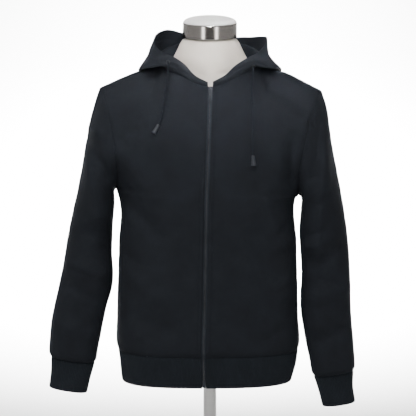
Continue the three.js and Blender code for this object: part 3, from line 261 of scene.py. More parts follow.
# %% Work out half a front or half the back
def half_panel(side, face):
    """Gives the number of rows and columns, and the surface: columns run from the centre to the side."""
    neck_cells = NECK_CELLS[face]
    columns, rows = neck_cells + SHOULDER_CELLS, SIDE_CELLS + ARMHOLE_CELLS
    centre_top = ZIP_TOP if face == "front" else NAPE_HEIGHT
    armpit_z = corner(side, "armpit").z
    ring, hole = quarter_ring(side, face, BAND_TOP), armhole(side, face)
    neck, shoulder = neckline(side, face), shoulder_seam(side)

    def top(j):
        return neck(j / neck_cells) if j <= neck_cells else shoulder((j - neck_cells) / SHOULDER_CELLS)

    def centre(i):
        if i <= SIDE_CELLS:
            return centre_point(side, face, BAND_TOP + (ARMPIT_LEVEL - BAND_TOP) * i / SIDE_CELLS)
        rise = (i - SIDE_CELLS) / ARMHOLE_CELLS
        return centre_point(side, face, ARMPIT_LEVEL + (centre_top - ARMPIT_LEVEL) * rise)

    def edge(i):
        if i <= SIDE_CELLS:
            return side_point(side, BAND_TOP + (armpit_z - BAND_TOP) * i / SIDE_CELLS)
        return hole((i - SIDE_CELLS) / ARMHOLE_CELLS)

    ring_ends = ring(0), ring(1)
    top_ends = top(0), top(columns)
    bulges = {}

    def surface(i, j):
        if i == rows:
            return top(j)
        u = j / columns
        if j not in bulges:
            low_bulge = ring(u) - ring_ends[0].lerp(ring_ends[1], u)
            bulges[j] = low_bulge, top(j) - top_ends[0].lerp(top_ends[1], u)
        rise = max(0, (i - SIDE_CELLS) / ARMHOLE_CELLS)
        p = centre(i).lerp(edge(i), u)
        if j == columns:
            return p
        return p + bulges[j][0] * ring_share(rise) + bulges[j][1] * yoke_share(rise)

    return rows, columns, surface


panels = {(name, face): half_panel(side, face)
          for name, side in SIDES.items() for face in ("front", "back")}
print("shoulder length", round((corner(LEFT, "neck") - corner(LEFT, "shoulder")).length))

# %% [markdown]
# ## Sleeves and hood
# A sleeve is a tube whose sections are known at a dozen places, and whose first rows follow the armhole.
# The hood lies folded back: from the neck seam its cloth rises to a roll, goes down over the shoulders and
# back, turns up again and ends at the rim. Each column of the hood is one such fold.

# %% Write the sleeve and hood tables
sleeve_rows = {
    LEFT: table("outX outZ inX inZ y deep", [
        (-234, 633, -200, 414, 5, 84),
        (-247, 592, -204, 411, 4, 84),
        (-259, 540, -206, 407, 3, 83),
        (-271, 470, -206, 399, 1, 80),
        (-287, 396, -205, 378, -1, 76),
        (-297, 345, -209, 333, -3, 71),
        (-308, 288, -212, 274, -5, 64),
        (-319, 230, -210, 214, -8, 57),
        (-331, 178, -223, 160, -12, 52),
        (-339, 136, -232, 120, -16, 48),
        (-344, 82, -243, 66, -21, 44),
        (-345, 62, -246, 47, -23, 41),
        (-341, 52, -250, 39, -24, 34),
    ]),
    RIGHT: table("outX outZ inX inZ y deep", [
        (238, 626, 189, 400, 5, 84),
        (249, 580, 194, 398, 4, 84),
        (257, 530, 197, 394, 3, 83),
        (270, 460, 198, 387, 1, 80),
        (283, 388, 197, 373, -1, 76),
        (291, 338, 193, 326, -3, 71),
        (297, 290, 196, 280, -5, 65),
        (301, 236, 198, 226, -9, 58),
        (303, 165, 197, 155, -14, 52),
        (306, 110, 205, 98, -19, 48),
        (310, 62, 215, 49, -23, 44),
        (312, 32, 221, 19, -25, 41),
        (309, 22, 226, 10, -26, 34),
    ]),
}
cuff_rows = {
    LEFT: table("outX outZ inX inZ y deep", [
        (-340, 51.6, -250, 38.6, -24, 33),
        (-341, 16, -260, 4, -26, 30),
        (-345, -14, -267, -26, -28, 30),
    ]),
    RIGHT: table("outX outZ inX inZ y deep", [
        (308, 21.6, 226, 9.6, -26, 33),
        (307, -14, 237, -24, -28, 30),
        (312, -46, 245, -55, -30, 30),
    ]),
}
HOOD_CENTRE_Y = -10
HOOD_CELLS = 13
hood_under_rows = table("angle rollR rollZ underR underZ lowR lowZ", [
    (0, 94.6, 649.6, 95, 651, 95.2, 652.5),
    (21, 94.6, 659.8, 94.9, 662.4, 94.8, 665),
    (37, 95, 672, 96, 676, 96.5, 681),
    (60, 99.5, 680, 103, 684, 106.5, 689),
    (77, 103, 693, 114, 689, 132, 680),
    (92, 106, 698, 128, 685, 149, 674),
    (105, 109, 703, 132, 682, 157, 664),
    (124, 109, 711, 133, 674, 160, 632),
    (139, 104, 717, 132, 660, 157, 596),
    (154, 98, 721, 130, 646, 153, 566),
    (180, 92, 723, 128, 636, 149, 548),
])
hood_outer_rows = {
    LEFT: table("angle wallR wallZ rimR rimZ", [
        (0, 95.2, 654, 95, 656),
        (21, 93.5, 668, 91, 671),
        (37, 93.5, 688.5, 89.5, 692),
        (60, 104, 699, 91, 705),
        (77, 125, 696, 99, 708),
        (92, 131, 699, 114, 722),
        (105, 136, 703, 121, 734),
        (124, 147, 700, 129, 743),
        (139, 157, 688, 135, 745),
        (154, 163, 672, 135, 737),
        (180, 170, 652, 128, 726),
    ]),
    RIGHT: table("angle wallR wallZ rimR rimZ", [
        (0, 95.2, 654, 95, 656),
        (21, 93.5, 668, 91, 671),
        (37, 94, 686, 90, 690),
        (60, 106, 697, 95, 704),
        (77, 118, 694, 102, 709),
        (92, 125, 698, 114, 723),
        (105, 130, 702, 125, 736),
        (124, 143, 696, 133, 734),
        (139, 157, 682, 134, 729),
        (154, 163, 668, 133, 725),
        (180, 170, 652, 128, 726),
    ]),
}


# %% Work out the sleeve and hood surfaces
def sleeve_section(row, turn):
    """A point of a section through its outer and inner points; turn 0 is outside, 90 degrees the front."""
    outer, inner = Vector((row["outX"], row["y"], row["outZ"])), Vector((row["inX"], row["y"], row["inZ"]))
    power = 2 / SLEEVE_SQUARENESS
    across = math.copysign(abs(math.cos(turn)) ** power, math.cos(turn))
    deep = math.copysign(abs(math.sin(turn)) ** power, math.sin(turn))
    p = (outer + inner) / 2 + (outer - inner) * across / 2
    p.y -= row["deep"] * deep
    return p


def section_reader(rows):
    """Adds the distance along the sleeve to each row, and reads a section at any such distance."""
    placed = [dict(rows[0], along=0)]
    for before, row in zip(rows, rows[1:]):
        step = math.hypot(row["outX"] + row["inX"] - before["outX"] - before["inX"],
                          row["outZ"] + row["inZ"] - before["outZ"] - before["inZ"]) / 2
        placed.append(dict(row, along=placed[-1]["along"] + step))
    readers = {name: column(placed, "along", name) for name in ("outX", "outZ", "inX", "inZ", "y", "deep")}
    return placed, lambda at: {name: read(at) for name, read in readers.items()}


def hood_profiles(side, columns, seam_point):
    """One smooth fold for each column, from the neck seam to the rim."""
    tables = {"roll": hood_under_rows, "under": hood_under_rows, "low": hood_under_rows,
              "wall": hood_outer_rows[side], "rim": hood_outer_rows[side]}
    readers = [[column(rows, "angle", name + end) for end in "RZ"] for name, rows in tables.items()]
    profiles = []
    for j in columns:
        seam = seam_point(j)
        angle = math.atan2(side * seam.x, HOOD_CENTRE_Y - seam.y)
        last = j == columns[-1]
        degrees = 180 if last else math.degrees(angle)
        knots = [seam]
        for radius, height in readers:
            r = radius(degrees)
            x = seam.x if last or j == columns[0] else side * r * math.sin(angle)
            knots.append(Vector((x, HOOD_CENTRE_Y - r * math.cos(angle), height(degrees))))
        profiles.append(path(knots))
    return profiles


# %% [markdown]
# ## Sheets of cloth
# A sheet here is a grid of points with its outward directions. Sheets that meet at a seam share those
# directions along it, so the cloth stays joined when the folds push it in or out.


# %% Say what a sheet is
class Sheet:
    """A grid of points in millimetres, with the outward direction of the cloth at each point."""

    def __init__(self, points, outwards, at, closed=False):
        self.points = np.array([[tuple(p) for p in row] for row in points])
        self.closed = closed
        self.turned = 1
        if np.dot(self.find_normals()[at], outwards) < 0:
            self.turned = -1
        self.normals = self.find_normals()

    def find_normals(self):
        p = self.points
        if self.closed:
            across = np.roll(p, -1, axis=1) - np.roll(p, 1, axis=1)
        else:
            across = (np.concatenate([p[:, 1:], p[:, -1:]], axis=1)
                      - np.concatenate([p[:, :1], p[:, :-1]], axis=1))
        upwards = np.concatenate([p[1:], p[-1:]]) - np.concatenate([p[:1], p[:-1]])
        normals = np.cross(across, upwards) * self.turned
        return normals / np.maximum(np.linalg.norm(normals, axis=2, keepdims=True), 1e-9)

    def border(self):
        last_row, last_column = self.points.shape[0] - 1, self.points.shape[1] - 1
        for i in range(last_row + 1):
            for j in range(last_column + 1) if i in (0, last_row) else (0, last_column):
                yield i, j


def share_normals(sheets):
    """Gives points that meet on the borders of sheets one outward direction."""
    sums = {}
    for sheet in sheets:
        sheet.normals = sheet.find_normals()
        for i, j in sheet.border():
            key = tuple(np.round(sheet.points[i, j], 2))
            sums[key] = sums.get(key, 0) + sheet.normals[i, j]
    for sheet in sheets:
        for i, j in sheet.border():
            total = sums[tuple(np.round(sheet.points[i, j], 2))]
            sheet.normals[i, j] = total / np.linalg.norm(total)


def steps(cells, fine):
    """Places from 0 to the number of cells, with a fixed number to each cell."""
    return [k / fine for k in range(cells * fine + 1)]


# %% Make the sheets
FINE_ACROSS = 6
FINE_UP = 8
SLEEVE_ROWS = 177
LAST_JOINING_ROW = 4
sheets = {}
for name, side in SIDES.items():
    rows, columns, surface = panels[name, "front"]
    points = [[surface(i, j) for j in steps(columns, FINE_ACROSS)] for i in steps(rows, FINE_UP)]
    sheets[f"front_{name}"] = Sheet(points, outwards=(0, -1, 0), at=(20, 20))

rows, columns, back_left = panels["left", "back"]
_, _, back_right = panels["right", "back"]
across_back = steps(columns, FINE_ACROSS)
points = [[back_left(i, j) for j in across_back[::-1]] + [back_right(i, j) for j in across_back[1:]]
          for i in steps(rows, FINE_UP)]
sheets["back"] = Sheet(points, outwards=(0, 1, 0), at=(20, 60))

for name, side in SIDES.items():
    placed, read_section = section_reader(sleeve_rows[side])
    holes = {face: armhole(side, face) for face in ("front", "back")}
    change_over = placed[LAST_JOINING_ROW]["along"]
    points = []
    for along in np.linspace(0, placed[-1]["along"], SLEEVE_ROWS):
        share = max(0, 1 - along / change_over) ** 1.5
        section = read_section(along)
        row = []
        for j in steps(ARMHOLE_CELLS * 2, FINE_UP)[:-1]:
            if j <= ARMHOLE_CELLS:
                on_hole = holes["front"](j / ARMHOLE_CELLS)
            else:
                on_hole = holes["back"](2 - j / ARMHOLE_CELLS)
            turn = math.pi - j * math.pi / ARMHOLE_CELLS
            drift = on_hole - sleeve_section(placed[0], turn)
            row.append(on_hole if along == 0 else sleeve_section(section, turn) + drift * share)
        points.append(row)
    sheets[f"sleeve_{name}"] = Sheet(points, outwards=(side, 0, 0), at=(50, ARMHOLE_CELLS * FINE_UP),
                                     closed=True)

for name, side in SIDES.items():
    front_rows, _, front_surface = panels[name, "front"]
    back_rows, _, back_surface = panels[name, "back"]
    front_cells, all_cells = NECK_CELLS["front"], NECK_CELLS["front"] + NECK_CELLS["back"]

    def seam_point(j):
        if j <= front_cells:
            return front_surface(front_rows, j)
        return back_surface(back_rows, all_cells - j)

    hood_columns = steps(all_cells, FINE_ACROSS)
    profiles = hood_profiles(side, hood_columns, seam_point)
    points = [[profile(i / HOOD_CELLS) for profile in profiles] for i in steps(HOOD_CELLS, FINE_UP)]
    sheets[f"hood_{name}"] = Sheet(points, outwards=(0, -1, 0), at=(FINE_UP, 12))
print({name: sheet.points.shape for name, sheet in sheets.items()})

# %% [markdown]
# ## Folds
# Heavy fleece makes a few broad, soft folds where it hangs from the shoulders, where the sleeves join and
# where the arms would bend. A cloth simulation gives folds of its own, so these are listed as
# ridges and troughs along lines of the front or back view, each with its width and its height.

# %% Place the folds
main_folds = {
    "front": table("x1 z1 x2 z2 wide high", [
        (-266, 541, -240, 543, 18, 6),
        (-265, 516, -214, 455, 18, -8),
        (-262, 492, -238, 366, 18, 8),
        (-262, 330, -226, 300, 18, -6),
        (-300, 262, -236, 236, 18, 6),
        (-310, 214, -250, 176, 18, -6),
        (-324, 130, -262, 104, 18, 6),
        (-152, 572, -184, 536, 18, -6),
        (-186, 500, -120, 420, 20, 6),
        (-180, 398, -110, 330, 18, -6),
        (-176, 250, -120, 196, 20, 6),
        (-160, 150, -92, 124, 18, -4),
        (124, 632, 214, 584, 18, -9),
        (160, 662, 238, 598, 18, 6),
        (252, 574, 228, 300, 18, 8),
        (228, 560, 218, 452, 18, -8),
        (288, 300, 228, 262, 18, -6),
        (290, 206, 224, 186, 18, 6),
        (296, 120, 232, 92, 18, -6),
        (176, 532, 174, 446, 18, -8),
        (118, 418, 152, 316, 18, 6),
        (160, 300, 162, 200, 18, 6),
        (96, 330, 120, 240, 20, -4),
    ]),
    "back": table("x1 z1 x2 z2 wide high", [
        (-186, 520, -120, 420, 20, 8),
        (180, 530, 112, 430, 20, 8),
        (-150, 400, -60, 330, 20, -6),
        (156, 380, 60, 300, 20, -6),
        (-140, 270, -40, 220, 20, 6),
        (146, 250, 40, 200, 20, 6),
        (-60, 140, 90, 120, 22, 6),
        (-262, 500, -236, 380, 18, 8),
        (262, 500, 240, 380, 18, 8),
        (-300, 270, -232, 230, 18, -6),
        (292, 260, 224, 224, 18, -6),
    ]),
}
creases = {
    "front": table("x1 z1 x2 z2 wide high", [
        (-272, 552, -238, 548, 9, 3.5),
        (-268, 532, -212, 450, 9, -3),
        (-262, 496, -238, 366, 7, 2.6),
        (-247, 470, -216, 418, 7, -2.4),
        (-243, 334, -212, 322, 8, -2.6),
        (-250, 312, -214, 298, 8, 2.2),
        (-292, 246, -250, 232, 8, -2),
        (-300, 196, -246, 168, 8, 2),
        (-157, 552, -178, 524, 8, -3.2),
        (-140, 560, -166, 544, 8, 1.8),
        (-190, 442, -150, 400, 8, -2.2),
        (-190, 372, -164, 352, 8, 2),
        (-188, 288, -156, 268, 9, -2),
        (-150, 108, -118, 92, 9, 1.8),
        (129, 628, 215, 584, 10, -2.6),
        (172, 660, 236, 596, 9, 2),
        (251, 573, 227, 260, 8, 2.6),
        (236, 573, 225, 452, 7, -2.6),
        (262, 420, 232, 392, 8, -2),
        (206, 320, 236, 332, 8, -2.6),
        (204, 296, 240, 306, 8, 2),
        (236, 226, 284, 214, 8, -2),
        (176, 519, 176, 432, 8, -3),
        (118, 399, 150, 301, 9, 2.4),
        (172, 352, 146, 330, 8, -2),
        (172, 236, 146, 214, 9, 2),
        (150, 120, 116, 100, 9, -1.8),
    ]),
    "back": table("x1 z1 x2 z2 wide high", [
        (-176, 560, -150, 510, 9, -3),
        (170, 555, 146, 505, 9, -3),
        (-184, 430, -130, 390, 9, -2.4),
        (178, 424, 124, 380, 9, 2.4),
        (-170, 330, -120, 306, 9, 2),
        (166, 316, 110, 300, 9, -2),
        (-40, 620, 50, 616, 10, -2),
        (-120, 110, -60, 98, 9, 1.8),
        (60, 104, 130, 96, 9, -1.8),
        (-262, 520, -226, 440, 8, -2.6),
        (-246, 330, -214, 312, 8, 2.4),
        (-300, 200, -250, 176, 8, -2),
        (258, 510, 226, 430, 8, -2.6),
        (206, 312, 240, 326, 8, 2.4),
        (240, 196, 290, 204, 8, -2),
    ]),
}
hood_creases = {
    "front": table("x1 z1 x2 z2 wide high", [
        (-146, 672, -118, 722, 8, 3),
        (-130, 668, -106, 706, 7, -3),
        (-112, 664, -92, 688, 7, 2.4),
        (-128, 718, -112, 744, 8, -2.6),
        (-100, 700, -84, 730, 7, 2.2),
        (127, 694, 113, 742, 8, 3),
        (132, 678, 116, 716, 7, -2.4),
        (120, 664, 101, 692, 7, 2.6),
        (106, 668, 91, 702, 7, -2.4),
        (96, 702, 84, 732, 7, 2),
    ]),
    "back": table("x1 z1 x2 z2 wide high", [
        (-60, 640, -108, 704, 10, 2.6),
        (48, 632, 106, 700, 10, -2.6),
        (-24, 664, -46, 722, 9, -2.2),
        (26, 670, 42, 728, 9, 2.2),
        (-92, 706, -40, 752, 9, -2),
        (90, 704, 44, 748, 9, 2),
    ]),
}
FOLD_FADE = 34


def fold_height(points, normals, table_of_folds):
    """Height in millimetres of the folds at each point. It fades out towards the zip."""
    height = np.zeros(points.shape[:2])
    for face, folds in table_of_folds.items():
        facing = np.clip(normals[..., 1] * (-1 if face == "front" else 1), 0, None)
        facing = np.minimum(1, facing * 1.5)
        for fold in folds:
            dx, dz = fold["x2"] - fold["x1"], fold["z2"] - fold["z1"]
            length = math.hypot(dx, dz)
            px, pz = points[..., 0] - fold["x1"], points[..., 2] - fold["z1"]
            along, across = (px * dx + pz * dz) / length, (px * dz - pz * dx) / length
            past = np.maximum(0, np.maximum(-along, along - length))
            away = (across / fold["wide"]) ** 2 + (past / fold["wide"]) ** 2
            height += fold["high"] * facing * np.exp(-away)
    zip_x = np.vectorize(middle["zip"])(points[..., 2])
    from_zip = np.clip((np.abs(points[..., 0] - zip_x) - ZIP_HALF_GAP) / FOLD_FADE, 0, 1)
    return np.where(normals[..., 1] < 0, height * from_zip ** 2, height)


share_normals(sheets.values())
for name, sheet in sheets.items():
    height = fold_height(sheet.points, sheet.normals, main_folds)
    if name.startswith("sleeve"):
        height[-1] = 0
    elif name.startswith("hood"):
        height[1:] = 0
    else:
        height[0] = 0
    sheet.points = sheet.points + sheet.normals * height[..., None]
share_normals(sheets.values())
print("highest fold", round(max(fold["high"] for fold in main_folds["front"])), "mm")

# %% [markdown]
# The broad folds above are the ones that the solid model has too. Real fleece also has small creases,
# shallow ripples along its seams and a slightly uneven hang all over. The creases are placed from the
# tables above, smooth noise gives the uneven hang, and every sewn edge is pressed down by its seam.


# %% Add ripples and pressed seams
def uneven(points, size, seed):
    """Smooth noise from -1 to 1 with features about size millimetres across."""
    shift = Vector((seed * 7.3, seed * 3.1, seed * 5.7))
    flat = [noise.noise(Vector(p) / size + shift) for p in points.reshape(-1, 3)]
    return np.array(flat).reshape(points.shape[:2])


def edge_distance(points, edge):
    """Distance in millimetres from one edge of the grid, measured along the cloth."""
    turned = points if edge in ("bottom", "top") else points.transpose(1, 0, 2)
    turned = turned[::-1] if edge in ("top", "end") else turned
    lengths = np.linalg.norm(np.diff(turned, axis=0), axis=2)
    reach = np.vstack([np.zeros((1, lengths.shape[1])), np.cumsum(lengths, axis=0)])
    reach = reach[::-1] if edge in ("top", "end") else reach
    return reach if edge in ("bottom", "top") else reach.T


SEAM_DIP = 1.3
SEAM_REACH = 3.4
FREE_FROM = 25
BROAD_HANG, BROAD_SIZE = 1.5, 75
FINE_HANG, FINE_SIZE = 0.7, 30
PUCKER_HEIGHT, PUCKER_SIZE = 0.55, 9
PUCKER_PLACE, PUCKER_REACH = 7, 8
ZIP_FLAT = 20
ZIP_FOLD_HEIGHT, ZIP_FOLD_PLACE, ZIP_FOLD_REACH = 0.9, 4.5, 3.5
HOOD_HEM = 26
HOOD_HEM_STEP = 2
sewn_edges = {"front": ("bottom", "top", "end"), "back": ("bottom", "top", "start", "end"),
              "sleeve": ("bottom", "top"), "hood": ("bottom", "end")}
for seed, (name, sheet) in enumerate(sheets.items()):
    kind = name.split("_")[0]
    reaches = {edge: edge_distance(sheet.points, edge) for edge in ("bottom", "top", "start", "end")}
    nearest = np.min([reaches[edge] for edge in sewn_edges[kind]], axis=0)
    free = np.clip(nearest / FREE_FROM, 0, 1)
    broad = BROAD_HANG * uneven(sheet.points, BROAD_SIZE, seed)
    fine = FINE_HANG * uneven(sheet.points, FINE_SIZE, seed)
    height = free * (broad + fine)
    near_seam = np.exp(-((nearest - PUCKER_PLACE) / PUCKER_REACH) ** 2)
    pucker = PUCKER_HEIGHT * uneven(sheet.points, PUCKER_SIZE, seed) * near_seam
    height = height + pucker - SEAM_DIP * np.exp(-(nearest / SEAM_REACH) ** 2)
    small_folds = hood_creases if kind == "hood" else creases
    height += free * fold_height(sheet.points, sheet.normals, small_folds)
    if kind == "front":
        height *= np.clip(reaches["start"] / ZIP_FLAT, 0, 1)
        height += ZIP_FOLD_HEIGHT * np.exp(-((reaches["start"] - ZIP_FOLD_PLACE) / ZIP_FOLD_REACH) ** 2)
    if kind == "hood":
        height += np.clip((HOOD_HEM - reaches["top"]) / HOOD_HEM_STEP, 0, 1)
    sheet.points = sheet.points + sheet.normals * height[..., None]
    sheet.normals = sheet.find_normals()
    print(name, "ripples from", round(height.min(), 1), "to", round(height.max(), 1), "mm")

# %% [markdown]
# ## Materials
# Nearly everything here is black cloth, so the finishes differ in how they catch light: matt brushed
# knit, ribbed knit, woven tape, braided cord and enamelled metal. Every colour is given as it looks on a
# screen and turned to linear light by one function, and one more function adds a node with its links.


# %% Write the material helpers
def linear(colour):
    """Turns an sRGB hex colour to linear light."""
    parts = [((colour >> shift) & 255) / 255 for shift in (16, 8, 0)]
    return tuple(c / 12.92 if c <= 0.04045 else ((c + 0.055) / 1.055) ** 2.4 for c in parts) + (1,)


def add_node(material, kind, links=None, **settings):
    """Adds one node. Links map an input's name or number to a value or to another node's output."""
    node = material.node_tree.nodes.new(kind)
    for name, value in settings.items():
        setattr(node, name, value)
    for place, source in (links or {}).items():
        if isinstance(source, bpy.types.NodeSocket):
            material.node_tree.links.new(source, node.inputs[place])
        else:
            node.inputs[place].default_value = source
    return node


def new_material(name, **sockets):
    """A material with one Principled shader, whose even values are set on its own sockets."""
    material = bpy.data.materials.new(name)
    material.use_nodes = True
    shader = material.node_tree.nodes["Principled BSDF"]
    for socket, value in sockets.items():
        shader.inputs[socket.replace("_", " ")].default_value = value
    return material, shader


def two_tones(material, factor, dark, light, low=0.3, high=0.7):
    """A colour that runs from dark to light as the factor goes from low to high."""
    ramp = add_node(material, "ShaderNodeValToRGB", {"Fac": factor})
    ramp.color_ramp.elements[0].position = low
    ramp.color_ramp.elements[0].color = linear(dark)
    ramp.color_ramp.elements[1].position = high
    ramp.color_ramp.elements[1].color = linear(light)
    return ramp.outputs["Color"]


def connect(material, source, shader, socket):
    material.node_tree.links.new(source, shader.inputs[socket])


def add_relief(material, shader, height, strength, depth):
    """Lets a pattern raise the surface by up to depth metres."""
    bump = add_node(material, "ShaderNodeBump", {"Height": height, "Strength": strength, "Distance": depth})
    connect(material, bump.outputs["Normal"], shader, "Normal")


def wave_scale(pitch):
    """The Wave texture's scale that repeats every pitch metres."""
    return math.tau / 20 / pitch


# %% [markdown]
# ### Fleece, rib and tape
# The face of sweatshirt fleece is plain jersey: columns of small V-shaped stitches, each about a
# millimetre wide, worn to a matt fuzz. Two crossed waves along the cloth's own UV map make the stitches,
# and fine noise breaks them up. The stitches are drawn a little coarser than real so that they show. A
# little sheen gives the pale bloom of fuzz where the cloth turns away.

# %% Write the knit
# A Noise texture's scale is the number of its features in a metre: tufts of fuzz about 1.5 mm across, and
# patches of wear about 60 mm across.
FUZZ_TUFTS = 650.0
WORN_PATCHES = 16.0


def knit(name, dark, light, stitch, depth):
    """Knitted or woven cloth with stitches so many metres wide and so many deep."""
    material, shader = new_material(name, Roughness=0.9, Sheen_Weight=0.03, Sheen_Roughness=0.45,
                                    Specular_IOR_Level=0.12, Sheen_Tint=linear(0xA0A8B8))
    place = add_node(material, "ShaderNodeTexCoord").outputs["UV"]
    fuzz = add_node(material, "ShaderNodeTexNoise",
                    {"Vector": place, "Scale": FUZZ_TUFTS, "Detail": 3.0,
                     "Roughness": 0.7}).outputs["Fac"]
    cloudy = add_node(material, "ShaderNodeTexNoise",
                      {"Vector": place, "Scale": WORN_PATCHES, "Detail": 4.0,
                       "Roughness": 0.6}).outputs["Fac"]
    wales = add_node(material, "ShaderNodeTexWave",
                     {"Vector": place, "Scale": wave_scale(stitch), "Distortion": 0.6, "Detail": 1.0},
                     bands_direction="X")
    courses = add_node(material, "ShaderNodeTexWave",
                       {"Vector": place, "Scale": wave_scale(0.8 * stitch), "Distortion": 0.8,
                        "Detail": 1.0}, bands_direction="Y")
    stitches = add_node(material, "ShaderNodeMath", {0: wales.outputs["Fac"], 1: courses.outputs["Fac"]},
                        operation="MULTIPLY")
    mixed = add_node(material, "ShaderNodeMath", {0: fuzz, 1: cloudy}, operation="ADD")
    halved = add_node(material, "ShaderNodeMath", {0: mixed.outputs["Value"], 1: 0.5}, operation="MULTIPLY")
    tones = two_tones(material, halved.outputs["Value"], dark, light, 0.36, 0.64)
    connect(material, tones, shader, "Base Color")
    relief = add_node(material, "ShaderNodeMath", {0: stitches.outputs["Value"], 1: 0.6, 2: fuzz},
                      operation="MULTIPLY_ADD")
    add_relief(material, shader, relief.outputs["Value"], 0.5, depth)
    return material


# %% Make the cloth materials
# The brushed face scatters light all ways: a dark, even grey with no highlight, a little paler at its edge.
fleece = knit("brushed cotton fleece", 0x16181C, 0x1C1F24, 0.0016, 0.0004)
# Rib is the same yarn in a finer stitch. Its ridges, which the mesh has, give it bright and dark lines.
rib_knit = knit("ribbed cotton knit", 0x161A1E, 0x1C2025, 0.0012, 0.0003)
# Woven tape is a little paler than the fleece, and finer in its weave.
zip_tape_cloth = knit("woven polyester tape", 0x22252A, 0x2B2F35, 0.0009, 0.0002)
# The thread matches the fleece, so only the shadow of each stitch shows.
thread, _ = new_material("polyester thread", Base_Color=linear(0x17191D), Roughness=0.8,
                         Specular_IOR_Level=0.1)

# %% [markdown]
# ### Cord, plastic and metal
# The cord is a round braid, so its strands are modelled and its material only adds yarn. Its ends and the
# zip's coil are moulded plastic with a satin gloss. The slider is zinc under dark enamel, and the form's
# neck ring is stainless steel brushed round and round, which draws its reflections out into upright bands.

# %% Write the cord, the mouldings and the brushed steel
# The yarns of the braid are about 1 mm thick. The shades of a moulding are patches about 40 mm across,
# which on the zip's coil are painted highlights, and its grain, which is too fine to show on the real one,
# is drawn 1.4 mm wide or more.
YARNS = 900.0
SHADES = 25.0
FINE_GRAIN = 700.0
COARSE_GRAIN = 350.0
# Scratches lie 0.7 mm apart up the steel and run far round it.
SCRATCHES = (6.0, 6.0, 1400.0)


def yarn(name, dark, light):
    material, shader = new_material(name, Roughness=0.9, Specular_IOR_Level=0.15)
    place = add_node(material, "ShaderNodeTexCoord").outputs["Object"]
    strands = add_node(material, "ShaderNodeTexNoise", {"Vector": place, "Scale": YARNS, "Detail": 2.0})
    connect(material, two_tones(material, strands.outputs["Fac"], dark, light), shader, "Base Color")
    add_relief(material, shader, strands.outputs["Fac"], 0.5, 0.0002)
    return material


def moulded(name, dark, light, roughness, metallic=0.0, grain=FINE_GRAIN, specular=0.5):
    """Moulded or cast stock: nearly even in colour, with a fine grain in its gloss."""
    material, shader = new_material(name, Metallic=metallic, Specular_IOR_Level=specular)
    place = add_node(material, "ShaderNodeTexCoord").outputs["Object"]
    # Mostly random tone. On the zip's coil, whose two colours lie far apart, these patches are painted
    # highlights.
    cloudy = add_node(material, "ShaderNodeTexNoise", {"Vector": place, "Scale": SHADES, "Detail": 3.0})
    fine = add_node(material, "ShaderNodeTexNoise", {"Vector": place, "Scale": grain, "Detail": 2.0})
    connect(material, two_tones(material, cloudy.outputs["Fac"], dark, light), shader, "Base Color")
    gloss = add_node(material, "ShaderNodeMapRange",
                     {"Value": fine.outputs["Fac"], "To Min": roughness - 0.06, "To Max": roughness + 0.08})
    connect(material, gloss.outputs["Result"], shader, "Roughness")
    add_relief(material, shader, fine.outputs["Fac"], 0.35, 0.00006)
    return material


def brushed(name, dark, light, roughness):
    """Steel brushed round an upright axis: fine level scratches, from noise stretched round the axis."""
    material, shader = new_material(name, Metallic=1.0)
    place = add_node(material, "ShaderNodeTexCoord").outputs["Object"]
    stretched = add_node(material, "ShaderNodeMapping", {"Vector": place, "Scale": SCRATCHES})
    lines = add_node(material, "ShaderNodeTexNoise",
                     {"Vector": stretched.outputs["Vector"], "Scale": 1.0, "Detail": 4.0}).outputs["Fac"]
    connect(material, two_tones(material, lines, dark, light), shader, "Base Color")
    gloss = add_node(material, "ShaderNodeMapRange",
                     {"Value": lines, "To Min": roughness - 0.08, "To Max": roughness + 0.1})
    connect(material, gloss.outputs["Result"], shader, "Roughness")
    add_relief(material, shader, lines, 0.25, 0.00005)
    return material


# %% Make the hard materials
# A soft, matt braid: the round of each strand shows, and nothing shines.
cord_cotton = yarn("braided cotton", 0x12151A, 0x1A1E24)
# Satin wire with a small dull light on each tooth. Its two colours lie far apart, so its pale patches
# are painted highlights, placed at random along the zip.
coil_painted_highlights = moulded("polyester coil with painted highlights", 0x181B1F, 0x363C44, 0.55, specular=0.3)
# A smooth bell that shows the lamps as one blurred spot.
end_plastic = moulded("moulded cord end", 0x22252A, 0x2A2E34, 0.5, specular=0.35)
# Dark enamel on metal: grey where it faces a lamp, and nearly black elsewhere.
slider_enamel = moulded("enamelled zinc", 0x303338, 0x3C3F44, 0.38, metallic=0.85)
eyelet_enamel = moulded("enamelled brass", 0x1B1C1F, 0x232528, 0.42, metallic=0.6)
# The shell is warm grey and matt. The cap is paler and smoother, and shades softly to its edge.
form_shell = moulded("matt fibreglass shell", 0xACA59B, 0xB4AEA5, 0.6, grain=COARSE_GRAIN)
cap_shell = moulded("moulded neck cap", 0xBEBCBA, 0xC6C4C2, 0.45)
# The brushed ring draws what it reflects into upright bands. The satin stand blurs it further.
ring_steel = brushed("brushed stainless steel", 0x8F8A86, 0xA9A49F, 0.17)
stand_steel = brushed("satin stainless steel", 0xA6A5A3, 0xBAB9B7, 0.34)
print("materials", len(bpy.data.materials))

# %% [markdown]
# ## From sheets to pieces
# Each piece starts as a plain grid from Blender, whose vertices are then put on the sheet. A Solidify
# modifier gives the cloth its 2.4 mm, half on each side of the sheet, and a small Bevel rounds the cut
# edges. The UV map is measured in metres along the cloth, so the knit keeps its size on every piece.


# %% Make a piece from a grid
def mesh_object(name, bm, material, smooth=False):
    """Turns a finished bmesh into a named object of one material."""
    if smooth:
        for face in bm.faces:
            face.smooth = True
    mesh = bpy.data.meshes.new(name)
    bm.to_mesh(mesh)
    bm.free()
    mesh.materials.append(material)
    return add_object(name, mesh)


def weave_map(points, closed):
    """Places in metres across and up the cloth, from its average column and row spacing."""
    ring = np.concatenate([points, points[:, :1]], axis=1) if closed else points
    across = np.linalg.norm(np.diff(ring, axis=1), axis=2).mean(axis=0)
    upwards = np.linalg.norm(np.diff(points, axis=0), axis=2).mean(axis=1)
    return np.concatenate([[0], np.cumsum(across)]) * MM, np.concatenate([[0], np.cumsum(upwards)]) * MM


CUT_EDGE_SHARE = 0.3


